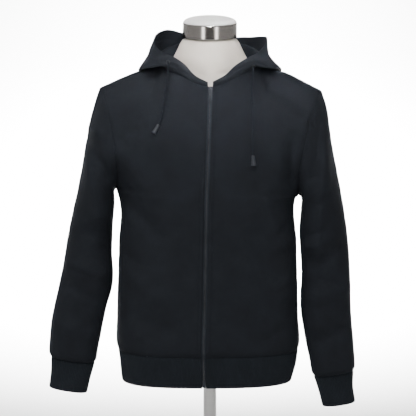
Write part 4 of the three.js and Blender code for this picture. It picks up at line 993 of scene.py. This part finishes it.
def to_mesh(name, points, material, normals=None, closed=False, wall=CLOTH_THICKNESS, rounded=True):
    """Lays Blender's grid on rows of points in millimetres, and makes it a named object."""
    rows = points.shape[0] - 1
    columns = points.shape[1] - (0 if closed else 1)
    across, upwards = weave_map(points, closed)
    bm = bmesh.new()
    bmesh.ops.create_grid(bm, x_segments=columns, y_segments=rows, size=1)
    bm.verts.ensure_lookup_table()
    places = [(round((v.co.y + 1) / 2 * rows), round((v.co.x + 1) / 2 * columns)) for v in bm.verts]
    weave = bm.loops.layers.uv.new("weave")
    for face in bm.faces:
        for loop in face.loops:
            i, j = places[loop.vert.index]
            loop[weave].uv = (across[j], upwards[i])
    world = (points + (0, 0, HEM_HEIGHT)) * MM
    width = points.shape[1]
    for vert, (i, j) in zip(bm.verts, places):
        vert.co = world[i, j % width]
    if closed:
        bmesh.ops.remove_doubles(bm, verts=bm.verts[:], dist=1e-6)
    bm.normal_update()
    if normals is not None:
        middle_point = Vector(world[rows // 2, width // 2])
        middle_face = min(bm.faces, key=lambda f: (f.calc_center_median() - middle_point).length)
        if middle_face.normal.dot(Vector(normals[rows // 2, width // 2])) < 0:
            bmesh.ops.reverse_faces(bm, faces=bm.faces[:])
    piece = mesh_object(name, bm, material, smooth=True)
    if wall:
        solidify = piece.modifiers.new("cloth", "SOLIDIFY")
        solidify.thickness = wall * MM
        solidify.offset = 0
        if rounded:
            bevel = piece.modifiers.new("cut edge", "BEVEL")
            bevel.width = wall * CUT_EDGE_SHARE * MM
            bevel.segments = 2
            bevel.limit_method = "ANGLE"
            bevel.angle_limit = math.radians(60)
    return piece


def cloth_area(points, closed=False):
    """Area of a sheet in square metres."""
    ring = np.concatenate([points, points[:, :1]], axis=1) if closed else points
    across, upwards = np.diff(ring, axis=1)[:-1], np.diff(ring, axis=0)[:, :-1]
    return float(np.linalg.norm(np.cross(across, upwards), axis=2).sum()) * MM * MM


def place_piece(piece, body, slot, *nodes):
    """Puts a piece on its body, in place of the solids that it shows. The slot is not used."""
    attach(piece, body)
    if nodes:
        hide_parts(*nodes)
    return piece


# %% [markdown]
# ### Stitching
# The seams of a sweatshirt are topstitched: two even rows of thread beside each seam, which come up out of
# the cloth, lie on it for two or three millimetres and go back in. One long thin tube that rises and dips
# does the same with few faces.


# %% Make rows of stitches
STITCH = 3.2
STITCH_RISE = [0.22, 0.3, 0.22, -0.55]
THREAD_RADIUS = 0.34
THREAD_CORNERS = (0.8, 2.4, 3.9, 5.5)
SPARE_CLOTH = 3


def inset_line(sheet, edge, inset, part=(0, 1)):
    """Points on the sheet's outside at an even distance from one edge, with their outward directions."""
    swap = edge in ("start", "end")
    points = sheet.points.transpose(1, 0, 2) if swap else sheet.points
    normals = sheet.normals.transpose(1, 0, 2) if swap else sheet.normals
    reach = edge_distance(sheet.points, edge)
    reach = reach.T if swap else reach
    if edge in ("top", "end"):
        points, normals, reach = points[::-1], normals[::-1], reach[::-1]
    width = points.shape[1]
    line, outwards = [], []
    for c in range(round(part[0] * (width - 1)), round(part[1] * (width - 1)) + 1):
        if reach[-1, c] < inset + SPARE_CLOTH:
            continue
        k = int(np.searchsorted(reach[:, c], inset)) - 1
        t = (inset - reach[k, c]) / (reach[k + 1, c] - reach[k, c])
        outwards.append(normals[k, c] + (normals[k + 1, c] - normals[k, c]) * t)
        line.append(points[k, c] + (points[k + 1, c] - points[k, c]) * t)
    outwards = np.array(outwards)
    outwards /= np.linalg.norm(outwards, axis=1, keepdims=True)
    if sheet.closed:
        line, outwards = line + line[:1], np.vstack([outwards, outwards[:1]])
    return np.array(line) + outwards * CLOTH_THICKNESS / 2, outwards


def stitch_row(line, outwards):
    """Rows of a thin tube which rises over the cloth for each stitch and dips between stitches."""
    lengths = np.linalg.norm(np.diff(line, axis=0), axis=1)
    reach = np.concatenate([[0], np.cumsum(lengths)])
    points_each = len(STITCH_RISE)
    count = max(1, round(reach[-1] / STITCH)) * points_each
    at = np.linspace(0, reach[-1], count + 1)
    centre = np.stack([np.interp(at, reach, line[:, k]) for k in range(3)], axis=1)
    outward = np.stack([np.interp(at, reach, outwards[:, k]) for k in range(3)], axis=1)
    outward /= np.linalg.norm(outward, axis=1, keepdims=True)
    lift = np.array(STITCH_RISE * (count // points_each) + STITCH_RISE[:1])
    along = np.gradient(centre, axis=0)
    sideways = np.cross(along, outward)
    sideways /= np.linalg.norm(sideways, axis=1, keepdims=True)
    centre = centre + outward * lift[:, None]
    return np.stack([centre + (sideways * math.cos(turn) + outward * math.sin(turn)) * THREAD_RADIUS
                     for turn in THREAD_CORNERS], axis=1)


def close_tube(bm, sides):
    """Fills the ends of tubes that have up to so many sides, or any number for 0."""
    bmesh.ops.holes_fill(bm, edges=[e for e in bm.edges if e.is_boundary], sides=sides)
    bmesh.ops.recalc_face_normals(bm, faces=bm.faces[:])


def stitch_piece(name, rows_of_lines):
    """Joins several rows of stitches to one named piece."""
    tubes = [to_mesh(f"{name}_{k}", stitch_row(*line), thread, closed=True, wall=0)
             for k, line in enumerate(rows_of_lines)]
    bm = bmesh.new()
    for tube in tubes:
        bm.from_mesh(tube.data)
        bpy.data.objects.remove(tube)
    close_tube(bm, 4)
    return place_piece(mesh_object(name, bm, thread), "hoodie", "fleece")


# %% Make the fleece pieces
# Each kind's flat size across and up, in metres, and its area in square metres.
flat_sizes = {
    "front": ((0.27, 0.65), 0.151), "back": ((0.55, 0.68), 0.312),
    "sleeve": ((0.42, 0.6), 0.186), "hood": ((0.29, 0.3), 0.068),
}
for name, sheet in sheets.items():
    piece = to_mesh(name + "_cloth", sheet.points, fleece, sheet.normals, sheet.closed)
    place_piece(piece, "hoodie", "fleece", name)
    kind = name.split("_")[0]
    flat, area = flat_sizes[kind]
    print(name, "cloth area", round(cloth_area(sheet.points, sheet.closed), 3), "cut", area)

# %% Stitch the seams
ZIP_INSET = 8
ARMHOLE_INSETS = (3.5, 8.5)
BAND_INSETS = (3.5, 8)
HOOD_HEM_INSET = 23.5
NECK_INSET = 4
HOOD_CENTRE_INSET = 3.2
armhole_part = (SIDE_CELLS / (SIDE_CELLS + ARMHOLE_CELLS), 0.995)
for name in SIDES:
    front, hood, sleeve = sheets[f"front_{name}"], sheets[f"hood_{name}"], sheets[f"sleeve_{name}"]
    stitch_piece(f"zip_stitches_{name}", [inset_line(front, "start", ZIP_INSET)])
    stitch_piece(f"armhole_stitches_{name}",
                 [inset_line(front, "end", inset, armhole_part) for inset in ARMHOLE_INSETS])
    stitch_piece(f"cuff_stitches_{name}", [inset_line(sleeve, "top", inset) for inset in BAND_INSETS])
    stitch_piece(f"band_stitches_{name}", [inset_line(front, "bottom", inset) for inset in BAND_INSETS])
    stitch_piece(f"hood_stitches_{name}", [
        inset_line(hood, "top", HOOD_HEM_INSET),
        inset_line(hood, "bottom", NECK_INSET, (0.02, 1)),
        inset_line(hood, "end", HOOD_CENTRE_INSET, (0.02, 0.98)),
    ])
back = sheets["back"]
back_lines = [inset_line(back, "bottom", inset) for inset in BAND_INSETS]
for edge in ("start", "end"):
    back_lines += [inset_line(back, edge, inset, armhole_part) for inset in ARMHOLE_INSETS]
stitch_piece("back_stitches", back_lines)
print("rows of stitches", len(back_lines), "on the back")

# %% [markdown]
# ## Ribbed bands
# Rib knit is made of upright ridges that stretch and spring back, so a band can be narrower than the cloth
# that it gathers. The ridges are too large to paint as a bump: the outline of the hem shows them. They are
# put into the sheet itself, one for each 3.3 mm of its length.

# %% Make the hem band and the cuffs
RIB_PITCH = 3.3
RIB_HEIGHT = 1.0
RIB_SHAPE = (0.0, 0.75, 1.0, 0.75)
BAND_LENGTH = 1080
CUFF_LENGTH = 215
BAND_HANG, BAND_HANG_SIZE = 0.9, 60


def ribbed(ring_at, levels, length, closed):
    """A sheet round a ring at each level, with ridges across it that stand outwards."""
    per_rib = len(RIB_SHAPE)
    count = round(length / RIB_PITCH) * per_rib
    rings = []
    for level in levels:
        ring = ring_at(level)
        row = np.array([tuple(ring(k / count)) for k in range(count if closed else count + 1)])
        rings.append(row)
    rings = np.array(rings)
    middle_place = (0, count // 2)
    outwards = rings[middle_place] - rings[0].mean(axis=0)
    sheet = Sheet(rings, outwards, at=middle_place, closed=closed)
    ridge = np.array([RIB_SHAPE[k % per_rib] for k in range(rings.shape[1])]) * RIB_HEIGHT
    sheet.points = sheet.points + sheet.normals * ridge[None, :, None]
    return sheet


def band_ring(z):
    """The body's ring at one height, from the zip round the left, the back and the right to the zip."""
    def quarter(side, face):
        ring = quarter_ring(side, face, z)
        return [ring(k / 16) for k in range(17)]

    halves = [quarter(LEFT, "front"), quarter(LEFT, "back")[::-1][1:],
              quarter(RIGHT, "back")[1:], quarter(RIGHT, "front")[::-1][1:]]
    return path([p for half in halves for p in half])


levels = [0, 1.5, 5, 12, 22, 33, 44, 54, 61, 64.5, 65.8]
band = ribbed(band_ring, levels, BAND_LENGTH, closed=False)
edge_pull = np.array([-0.9, -0.2, 0, 0, 0, 0, 0, 0, 0, -0.3, -1.1])
loose = np.sin(np.linspace(0, math.pi, len(levels)))[:, None]
ripple = BAND_HANG * uneven(band.points, BAND_HANG_SIZE, seed=21) * loose
band.points = band.points + band.normals * (edge_pull[:, None] + ripple)[..., None]
piece = to_mesh("hem_band_rib", band.points, rib_knit, band.normals)
place_piece(piece, "hoodie", "rib", "hem_band")
print("band area", round(cloth_area(band.points), 4))

for name, side in SIDES.items():
    placed, read_cuff = section_reader(cuff_rows[side])

    def cuff_ring(along):
        section = read_cuff(along)
        points = [sleeve_section(section, k / 48 * math.tau) for k in range(49)]
        return path(points)

    end = placed[-1]["along"]
    levels = [0.3, 1.5, 5, 12, 20, 30, 40, 50, 58, end - 5, end - 1.5, end]
    cuff = ribbed(cuff_ring, levels, CUFF_LENGTH, closed=True)
    edge_pull = np.array([-1.1, -0.3] + [0] * 8 + [-0.2, -0.9])
    cuff.points = cuff.points + cuff.normals * edge_pull[:, None, None]
    piece = to_mesh(f"cuff_{name}_rib", cuff.points, rib_knit, cuff.normals, closed=True)
    place_piece(piece, "hoodie", "rib", f"cuff_{name}")
    print("cuff area", round(cloth_area(cuff.points, True), 4))

# %% [markdown]
# ## The zip
# A separating zip is two woven tapes, each with a coil of plastic wire sewn along its edge, and a metal
# slider that has drawn the coils into each other. The tapes lie behind the folded edges of the fronts. Each
# tooth is a short six-sided bar across the gap, one from the left and the next from the right.

# %% Make the tapes
TAPE_MIDDLE = 2.1
TAPE_REACH = 18
TAPE_WALL = 0.9
BEHIND_COIL = 0.3
BETWEEN_TAPES = 0.1
PAST_FOLD = 6
BAND_LEVELS = (2, 16, 33, 50)
for name, side in SIDES.items():
    front = sheets[f"front_{name}"].points
    lower = [(centre_point(side, "front", z), quarter_ring(side, "front", z)(0.1)) for z in BAND_LEVELS]
    edges = lower + [(Vector(row[0]), Vector(row[FINE_ACROSS])) for row in front[::4]]
    points = []
    for edge, following in edges:
        along = Vector((following.x - edge.x, following.y - edge.y, 0)).normalized()
        inward = Vector((-side * along.y, side * along.x, 0))
        inner = Vector((middle["zip"](edge.z) + side * BETWEEN_TAPES,
                        middle["front"](edge.z) + TAPE_MIDDLE + BEHIND_COIL, edge.z))
        seat = edge + inward * TAPE_MIDDLE
        reach = seat + along * (TAPE_REACH - ZIP_HALF_GAP)
        points.append([inner, inner.lerp(seat, 0.5), seat, seat + along * PAST_FOLD, reach])
    tape = Sheet(points, outwards=(0, -1, 0), at=(4, 2))
    piece = to_mesh(f"zip_tape_{name}_cloth", tape.points, zip_tape_cloth, tape.normals, wall=TAPE_WALL,
                    rounded=False)
    place_piece(piece, "hoodie", "zip_tape", f"zip_tape_{name}")
    print(name, "tape area", round(cloth_area(tape.points), 4))

# %% Make the coil's teeth
TOOTH_PITCH = 1.7
TOOTH_RADIUS = 0.72
TOOTH_LENGTH = 3.5
TOOTH_OFFSET = 1.15
TOOTH_LEAN = 0.12
TOOTH_SET_BACK = 0.75
TOOTH_FLATTENED = (0.85, 1.25, 1, 1)
FIRST_TOOTH = 17
LAST_TOOTH = 633
bm = bmesh.new()
for k in range(round((LAST_TOOTH - FIRST_TOOTH) / TOOTH_PITCH)):
    z = FIRST_TOOTH + k * TOOTH_PITCH
    side = LEFT if k % 2 else RIGHT
    place = Vector((middle["zip"](z) + side * TOOTH_OFFSET, middle["front"](z) + TOOTH_SET_BACK,
                    z + HEM_HEIGHT)) * MM
    laid = Matrix.Rotation(math.pi / 2, 4, "Y") @ Matrix.Rotation(side * TOOTH_LEAN, 4, "X")
    bmesh.ops.create_cone(bm, cap_ends=True, segments=6, radius1=TOOTH_RADIUS * MM,
                          radius2=TOOTH_RADIUS * MM, depth=TOOTH_LENGTH * MM,
                          matrix=Matrix.Translation(place) @ laid @ Matrix.Diagonal(TOOTH_FLATTENED))
coil = mesh_object("zip_coil", bm, coil_painted_highlights)
place_piece(coil, "hoodie", "zip_coil", "zip_chain")
print("teeth", k + 1)

# %% [markdown]
# The slider, its pull, the box at the zip's foot and the eyelets are castings and pressings. Their solids
# are right in shape but sharp, and no cast edge is: a copy of each, with its loose triangles merged, gets
# small rounded edges that catch the light.


# %% Round the small metal pieces
def merged_copy(node):
    """A bmesh of a solid, with the corners of its loose triangles joined."""
    bm = bmesh.new()
    bm.from_mesh(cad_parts[node].data)
    bmesh.ops.remove_doubles(bm, verts=bm.verts[:], dist=2e-6)
    return bm


def rounded_copy(name, node, material, body, slot, width):
    """Shows a solid with its sharp edges rounded by a width in millimetres."""
    bm = merged_copy(node)
    bmesh.ops.dissolve_limit(bm, angle_limit=math.radians(2), verts=bm.verts[:], edges=bm.edges[:])
    sharp = [e for e in bm.edges if e.is_manifold and e.calc_face_angle() > math.radians(25)]
    bmesh.ops.bevel(bm, geom=sharp, offset=width * MM, offset_type="OFFSET", affect="EDGES", segments=2,
                    profile=0.5, material=-1, clamp_overlap=True)
    piece = mesh_object(name, bm, material, smooth=True)
    piece.data.set_sharp_from_angle(angle=math.radians(40))
    print(name, "faces", len(piece.data.polygons))
    return place_piece(piece, body, slot, node)


rounded_copy("slider_body", "zip_slider", slider_enamel, "hoodie", "zip_metal", 0.25)
rounded_copy("pull_tab", "zip_pull", slider_enamel, "pull", "zip_metal", 0.25)
rounded_copy("insert_box", "zip_box", slider_enamel, "hoodie", "zip_metal", 0.4)
for name in SIDES:
    rounded_copy(f"eyelet_ring_{name}", f"eyelet_{name}", eyelet_enamel, "hoodie", "eyelet_metal", 0.15)

# %% [markdown]
# ## The drawcords
# The hood's cord is a limp cotton braid 5 mm thick. Each free end leaves its eyelet, turns down under its
# own weight, hangs clear of the collar and then lies on the chest, and ends in a bell-shaped stop. The
# route's points are those of the solid model. The braid is made in the tube: two sets of strands wind
# round it in opposite ways and take turns to lie on top.

# %% Write the cords' routes
CORD_RADIUS = 2.5
cord_routes = {
    "left": [
        (-88, -74.4, 695), (-88, -76.6, 692.4), (-88, -78, 689), (-88.2, -78.6, 684), (-88.8, -78.8, 676),
        (-89.6, -78.9, 667), (-90.6, -79, 658), (-91.8, -79.2, 649), (-93, -79.8, 640), (-94.4, -81.4, 631),
        (-95.8, -84.2, 622), (-97.2, -87.4, 613), (-98.8, -90.6, 604), (-100.8, -94, 594),
        (-103.2, -97.4, 584), (-106, -100.4, 575), (-108.1, -102.4, 568),
    ],
    "right": [
        (91, -73.2, 686), (91, -75.4, 683.4), (91, -76.8, 680), (90.8, -77.4, 675), (90.4, -77.6, 667),
        (89.8, -77.8, 659), (89.2, -78.1, 651), (88.8, -79, 642), (88.9, -81, 633), (89.4, -83.8, 624),
        (90.2, -88.2, 615), (91, -92, 606), (91.6, -95.2, 597), (91.9, -98.2, 588), (91.9, -101.2, 579),
        (91.7, -104.2, 570), (91.5, -106.6, 561), (91.1, -109.2, 552), (90.7, -111.6, 543),
        (90.5, -113.4, 534), (90.6, -114.6, 525), (90.8, -115.6, 516), (91.1, -116.9, 503.4),
    ],
}
cord_ends = {
    "left": ((-108.6, -102.8, 566.9), (-118.5, -108.4, 549)),
    "right": ((91.2, -117.2, 503), (92.4, -119.6, 481.5)),
}
print("points of the routes", {name: len(route) for name, route in cord_routes.items()})

# %% Braid a tube
BRAID_PITCH = 9
STRANDS_AROUND = 5
STRAND_RISE = 0.3
RING_SPACING = 0.75
POINTS_AROUND = 30


def braided_tube(route):
    """Rings of points round a route, raised where a strand passes over."""
    follow = path([Vector(p) for p in route])
    length = sum((Vector(b) - Vector(a)).length for a, b in zip(route, route[1:]))
    count = round(length / RING_SPACING)
    centre = np.array([tuple(follow(k / count)) for k in range(count + 1)])
    along = np.gradient(centre, axis=0)
    along /= np.linalg.norm(along, axis=1, keepdims=True)
    sideways = np.cross(along, (0, -1, 0.2))
    sideways /= np.linalg.norm(sideways, axis=1, keepdims=True)
    outward = np.cross(sideways, along)
    rings = []
    for k in range(count + 1):
        phase = k / count * length / BRAID_PITCH * math.tau
        ring = []
        for m in range(POINTS_AROUND):
            turn = m / POINTS_AROUND * math.tau
            one = math.sin(STRANDS_AROUND * turn + phase)
            other = math.sin(STRANDS_AROUND * turn - phase)
            radius = CORD_RADIUS - STRAND_RISE + STRAND_RISE * max(one, other)
            ring.append(centre[k] + (sideways[k] * math.cos(turn) + outward[k] * math.sin(turn)) * radius)
        rings.append(ring)
    return np.array(rings), centre, length


# %% Spin a turned piece
def spun(name, profile, material, slot, node, turns, start=(0, 0, 0), foot=None):
    """Spins a profile of (radius, height) round an upright line, then lays it from start towards foot."""
    bm = bmesh.new()
    verts = [bm.verts.new((radius * MM, 0, height * MM)) for radius, height in profile]
    edges = [bm.edges.new(pair) for pair in zip(verts, verts[1:])]
    bmesh.ops.spin(bm, geom=verts + edges, cent=(0, 0, 0), axis=(0, 0, 1), angle=math.tau, steps=turns,
                   use_merge=True, use_duplicate=False)
    bmesh.ops.remove_doubles(bm, verts=bm.verts[:], dist=2e-6)
    bmesh.ops.recalc_face_normals(bm, faces=bm.faces[:])
    turn = Matrix.Identity(4)
    if foot is not None:
        turn = (Vector(foot) - Vector(start)).to_track_quat("Z", "Y").to_matrix().to_4x4()
    bmesh.ops.transform(bm, matrix=Matrix.Translation(Vector(start) * MM) @ turn, verts=bm.verts[:])
    piece = mesh_object(name, bm, material, smooth=True)
    piece.data.set_sharp_from_angle(angle=math.radians(35))
    print(name, "faces", len(piece.data.polygons))
    return place_piece(piece, "hoodie", slot, node)


# %% Make the cords and their ends
for name, route in cord_routes.items():
    rings, centre, length = braided_tube(route)
    tube = to_mesh(f"drawcord_{name}_braid", rings, cord_cotton, closed=True, wall=0)
    bm = bmesh.new()
    bm.from_mesh(tube.data)
    close_tube(bm, 0)
    bm.to_mesh(tube.data)
    bm.free()
    place_piece(tube, "hoodie", "cord_cotton", f"drawcord_{name}")
    start, foot = (Vector(p) + Vector((0, 0, HEM_HEIGHT)) for p in cord_ends[name])
    long = (foot - start).length
    bell = [(0, 0.2), (2.6, 0), (3.1, 0.5), (3.35, 1.4), (3.5, long * 0.3), (4, long * 0.52),
            (4.7, long * 0.74), (5.3, long * 0.9), (5.35, long * 0.95), (5, long * 0.99), (4.4, long),
            (0, long)]
    end = spun(f"cord_end_{name}_bell", bell, end_plastic, "cord_end_plastic", f"cord_end_{name}", 40,
               start, foot)
    line = (centre + (0, 0, HEM_HEIGHT)) * MM
    tuple(line[0])
    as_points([tuple(p) for p in line[::3]] + [tuple(line[-1])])
    print(name, "cord", round(length), "mm")

# %% [markdown]
# ## The dress form and its stand
# The form is a smooth moulded torso with a steel ring at its neck and a pale cap. Its solid has flat
# facets, so the visible torso is a copy whose triangles are joined back to rows of four-sided faces and
# then smoothed by a Subdivision Surface. Below the bare neck the copy is drawn in a little, so that no
# crease of the cloth lets it through. The ring, cap, pole and base are turned shapes, so each is spun to
# the size of its solid.

# %% Make the torso
NECK_BARE = 655
TORSO_DRAWN_IN = 7
DRAWN_IN_OVER = 20
bm = merged_copy("form_torso")
bmesh.ops.join_triangles(bm, faces=bm.faces[:], angle_face_threshold=math.radians(60),
                         angle_shape_threshold=math.radians(180))
bm.normal_update()
for vert in bm.verts:
    under_cloth = min(1, max(0, (HEM_HEIGHT + NECK_BARE - vert.co.z / MM) / DRAWN_IN_OVER))
    vert.co -= vert.normal * TORSO_DRAWN_IN * under_cloth * MM
torso = mesh_object("torso_shell", bm, form_shell, smooth=True)
smooth = torso.modifiers.new("smooth", "SUBSURF")
smooth.levels = smooth.render_levels = 2
place_piece(torso, "hoodie", "form_shell", "form_torso")
print("torso faces", len(torso.data.polygons))


# %% Spin the ring and the cap
def turned_size(node):
    """The radius, bottom and top in millimetres of a turned solid."""
    low, high = ([value / MM for value in corner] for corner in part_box(node))
    return (high[0] - low[0]) / 2, low[2], high[2]


radius, bottom, top = turned_size("form_ring")
ring_profile = [(0, bottom), (radius - 1.2, bottom), (radius - 0.3, bottom + 0.4), (radius, bottom + 1.2),
                (radius, bottom + 1.8), (radius, top - 1.8), (radius, top - 1.2), (radius - 0.3, top - 0.4),
                (radius - 1.2, top), (0, top)]
spun("neck_ring", ring_profile, ring_steel, "ring_steel", "form_ring", 128)

radius, bottom, top = turned_size("form_cap")
cap_profile = [(0, bottom), (radius - 1, bottom), (radius, bottom + 0.8)]
CAP_STEPS = 12
for k in range(1, CAP_STEPS + 1):
    turn = k / CAP_STEPS * math.pi / 2
    cap_profile.append((radius * math.cos(turn) ** 0.8, bottom + 1 + (top - bottom - 1) * math.sin(turn)))
spun("neck_cap", cap_profile, cap_shell, "cap_shell", "form_cap", 128)

# %% Spin the pole and the base
radius, bottom, top = turned_size("stand_pole")
pole_profile = [(0, bottom), (radius - 0.8, bottom), (radius, bottom + 0.8), (radius, top), (0, top)]
spun("pole_tube", pole_profile, stand_steel, "stand_steel", "stand_pole", 64)

radius, bottom, top = turned_size("stand_base")
base_profile = [(0, bottom), (radius - 1, bottom), (radius, bottom + 1), (radius, top - 2.2),
                (radius - 0.7, top - 0.7), (radius - 2.2, top), (0, top)]
spun("base_plate", base_profile, stand_steel, "stand_steel", "stand_base", 160)

# %% [markdown]
# ## Floor and light
# The photograph has a plain pale surround and soft light from above and in front. A wide floor that curves
# up behind the form, one large lamp overhead and a pale sky give that. A narrow lamp opens up the hood, two
# behind the form keep the surround white, and two lamps low at the sides with a dark card between them draw
# the two bright strips and the dark band that the neck ring shows.

# %% Make the floor and the card
FLOOR_HALF_WIDTH = 6000
CARD_HALF_WIDTH = 1450
CARD_DISTANCE = 4200
CARD_HEIGHT = 800
floor_profile = [(-7000, 0), (-2000, 0), (1500, 0), (2400, 0), (3000, 120), (3400, 480), (3600, 800)]
points = [[(x, y, z) for x in np.linspace(-FLOOR_HALF_WIDTH, FLOOR_HALF_WIDTH, 9)]
          for y, z in floor_profile]
points = np.array(points) - (0, 0, HEM_HEIGHT)
# White paint without gloss, so the floor shows a soft shadow and no reflection.
floor_paint, _ = new_material("matt white paint", Base_Color=linear(0xFAFAFA), Roughness=0.9)
floor = to_mesh("floor", points, floor_paint, wall=0)

card = [[(x, -CARD_DISTANCE, z) for x in np.linspace(-CARD_HALF_WIDTH, CARD_HALF_WIDTH, 5)]
        for z in np.linspace(0, CARD_HEIGHT, 3)]
# Black card gives back almost no light, so the ring shows it as a dark band.
card_paint, _ = new_material("matt black card", Base_Color=linear(0x0C0C0E), Roughness=0.9)
flag = to_mesh("flag", np.array(card) - (0, 0, HEM_HEIGHT), card_paint, wall=0)
print("floor and card faces", len(floor.data.polygons), len(flag.data.polygons))


# %% Place the lamps
def lamp(name, size, power, place, target, spread=180):
    """A round lamp of a size in metres and a power in watts, which lights a cone of spread degrees."""
    light = bpy.data.lights.new(name, "AREA")
    light.spread = math.radians(spread)
    light.shape = "DISK"
    light.size = size
    light.energy = power
    fixture = add_object(name, light)
    fixture.location = place
    fixture.rotation_euler = (Vector(target) - Vector(place)).to_track_quat("-Z", "Y").to_euler()


lamp("overhead", 1.3, 69, (-0.4, -1.15, 2.75), (0, 0, 0.8))
lamp("hood light", 0.3, 1.2, (0.1, -2.4, 2.1), (0.02, 0, 0.98), spread=14)
for place_x in (-2.15, 2.15):
    lamp("strip", 0.9, 0.9, (place_x, -4, 0.35), (0, 0, 0.9), spread=40)
lamp("backdrop", 1.6, 300, (0, 2.7, 4.2), (0, 2.8, 0), spread=42)
lamp("near floor", 0.8, 90, (0, 1.3, 3.5), (0, 1.6, 0), spread=40)
SKY_STRENGTH = 0.5
world = bpy.data.worlds.new("pale sky")
bpy.context.scene.world = world
world.use_nodes = True
world.node_tree.nodes["Background"].inputs["Color"].default_value = (1, 1, 1, 1)
world.node_tree.nodes["Background"].inputs["Strength"].default_value = SKY_STRENGTH
print("lamps", len(bpy.data.lights))
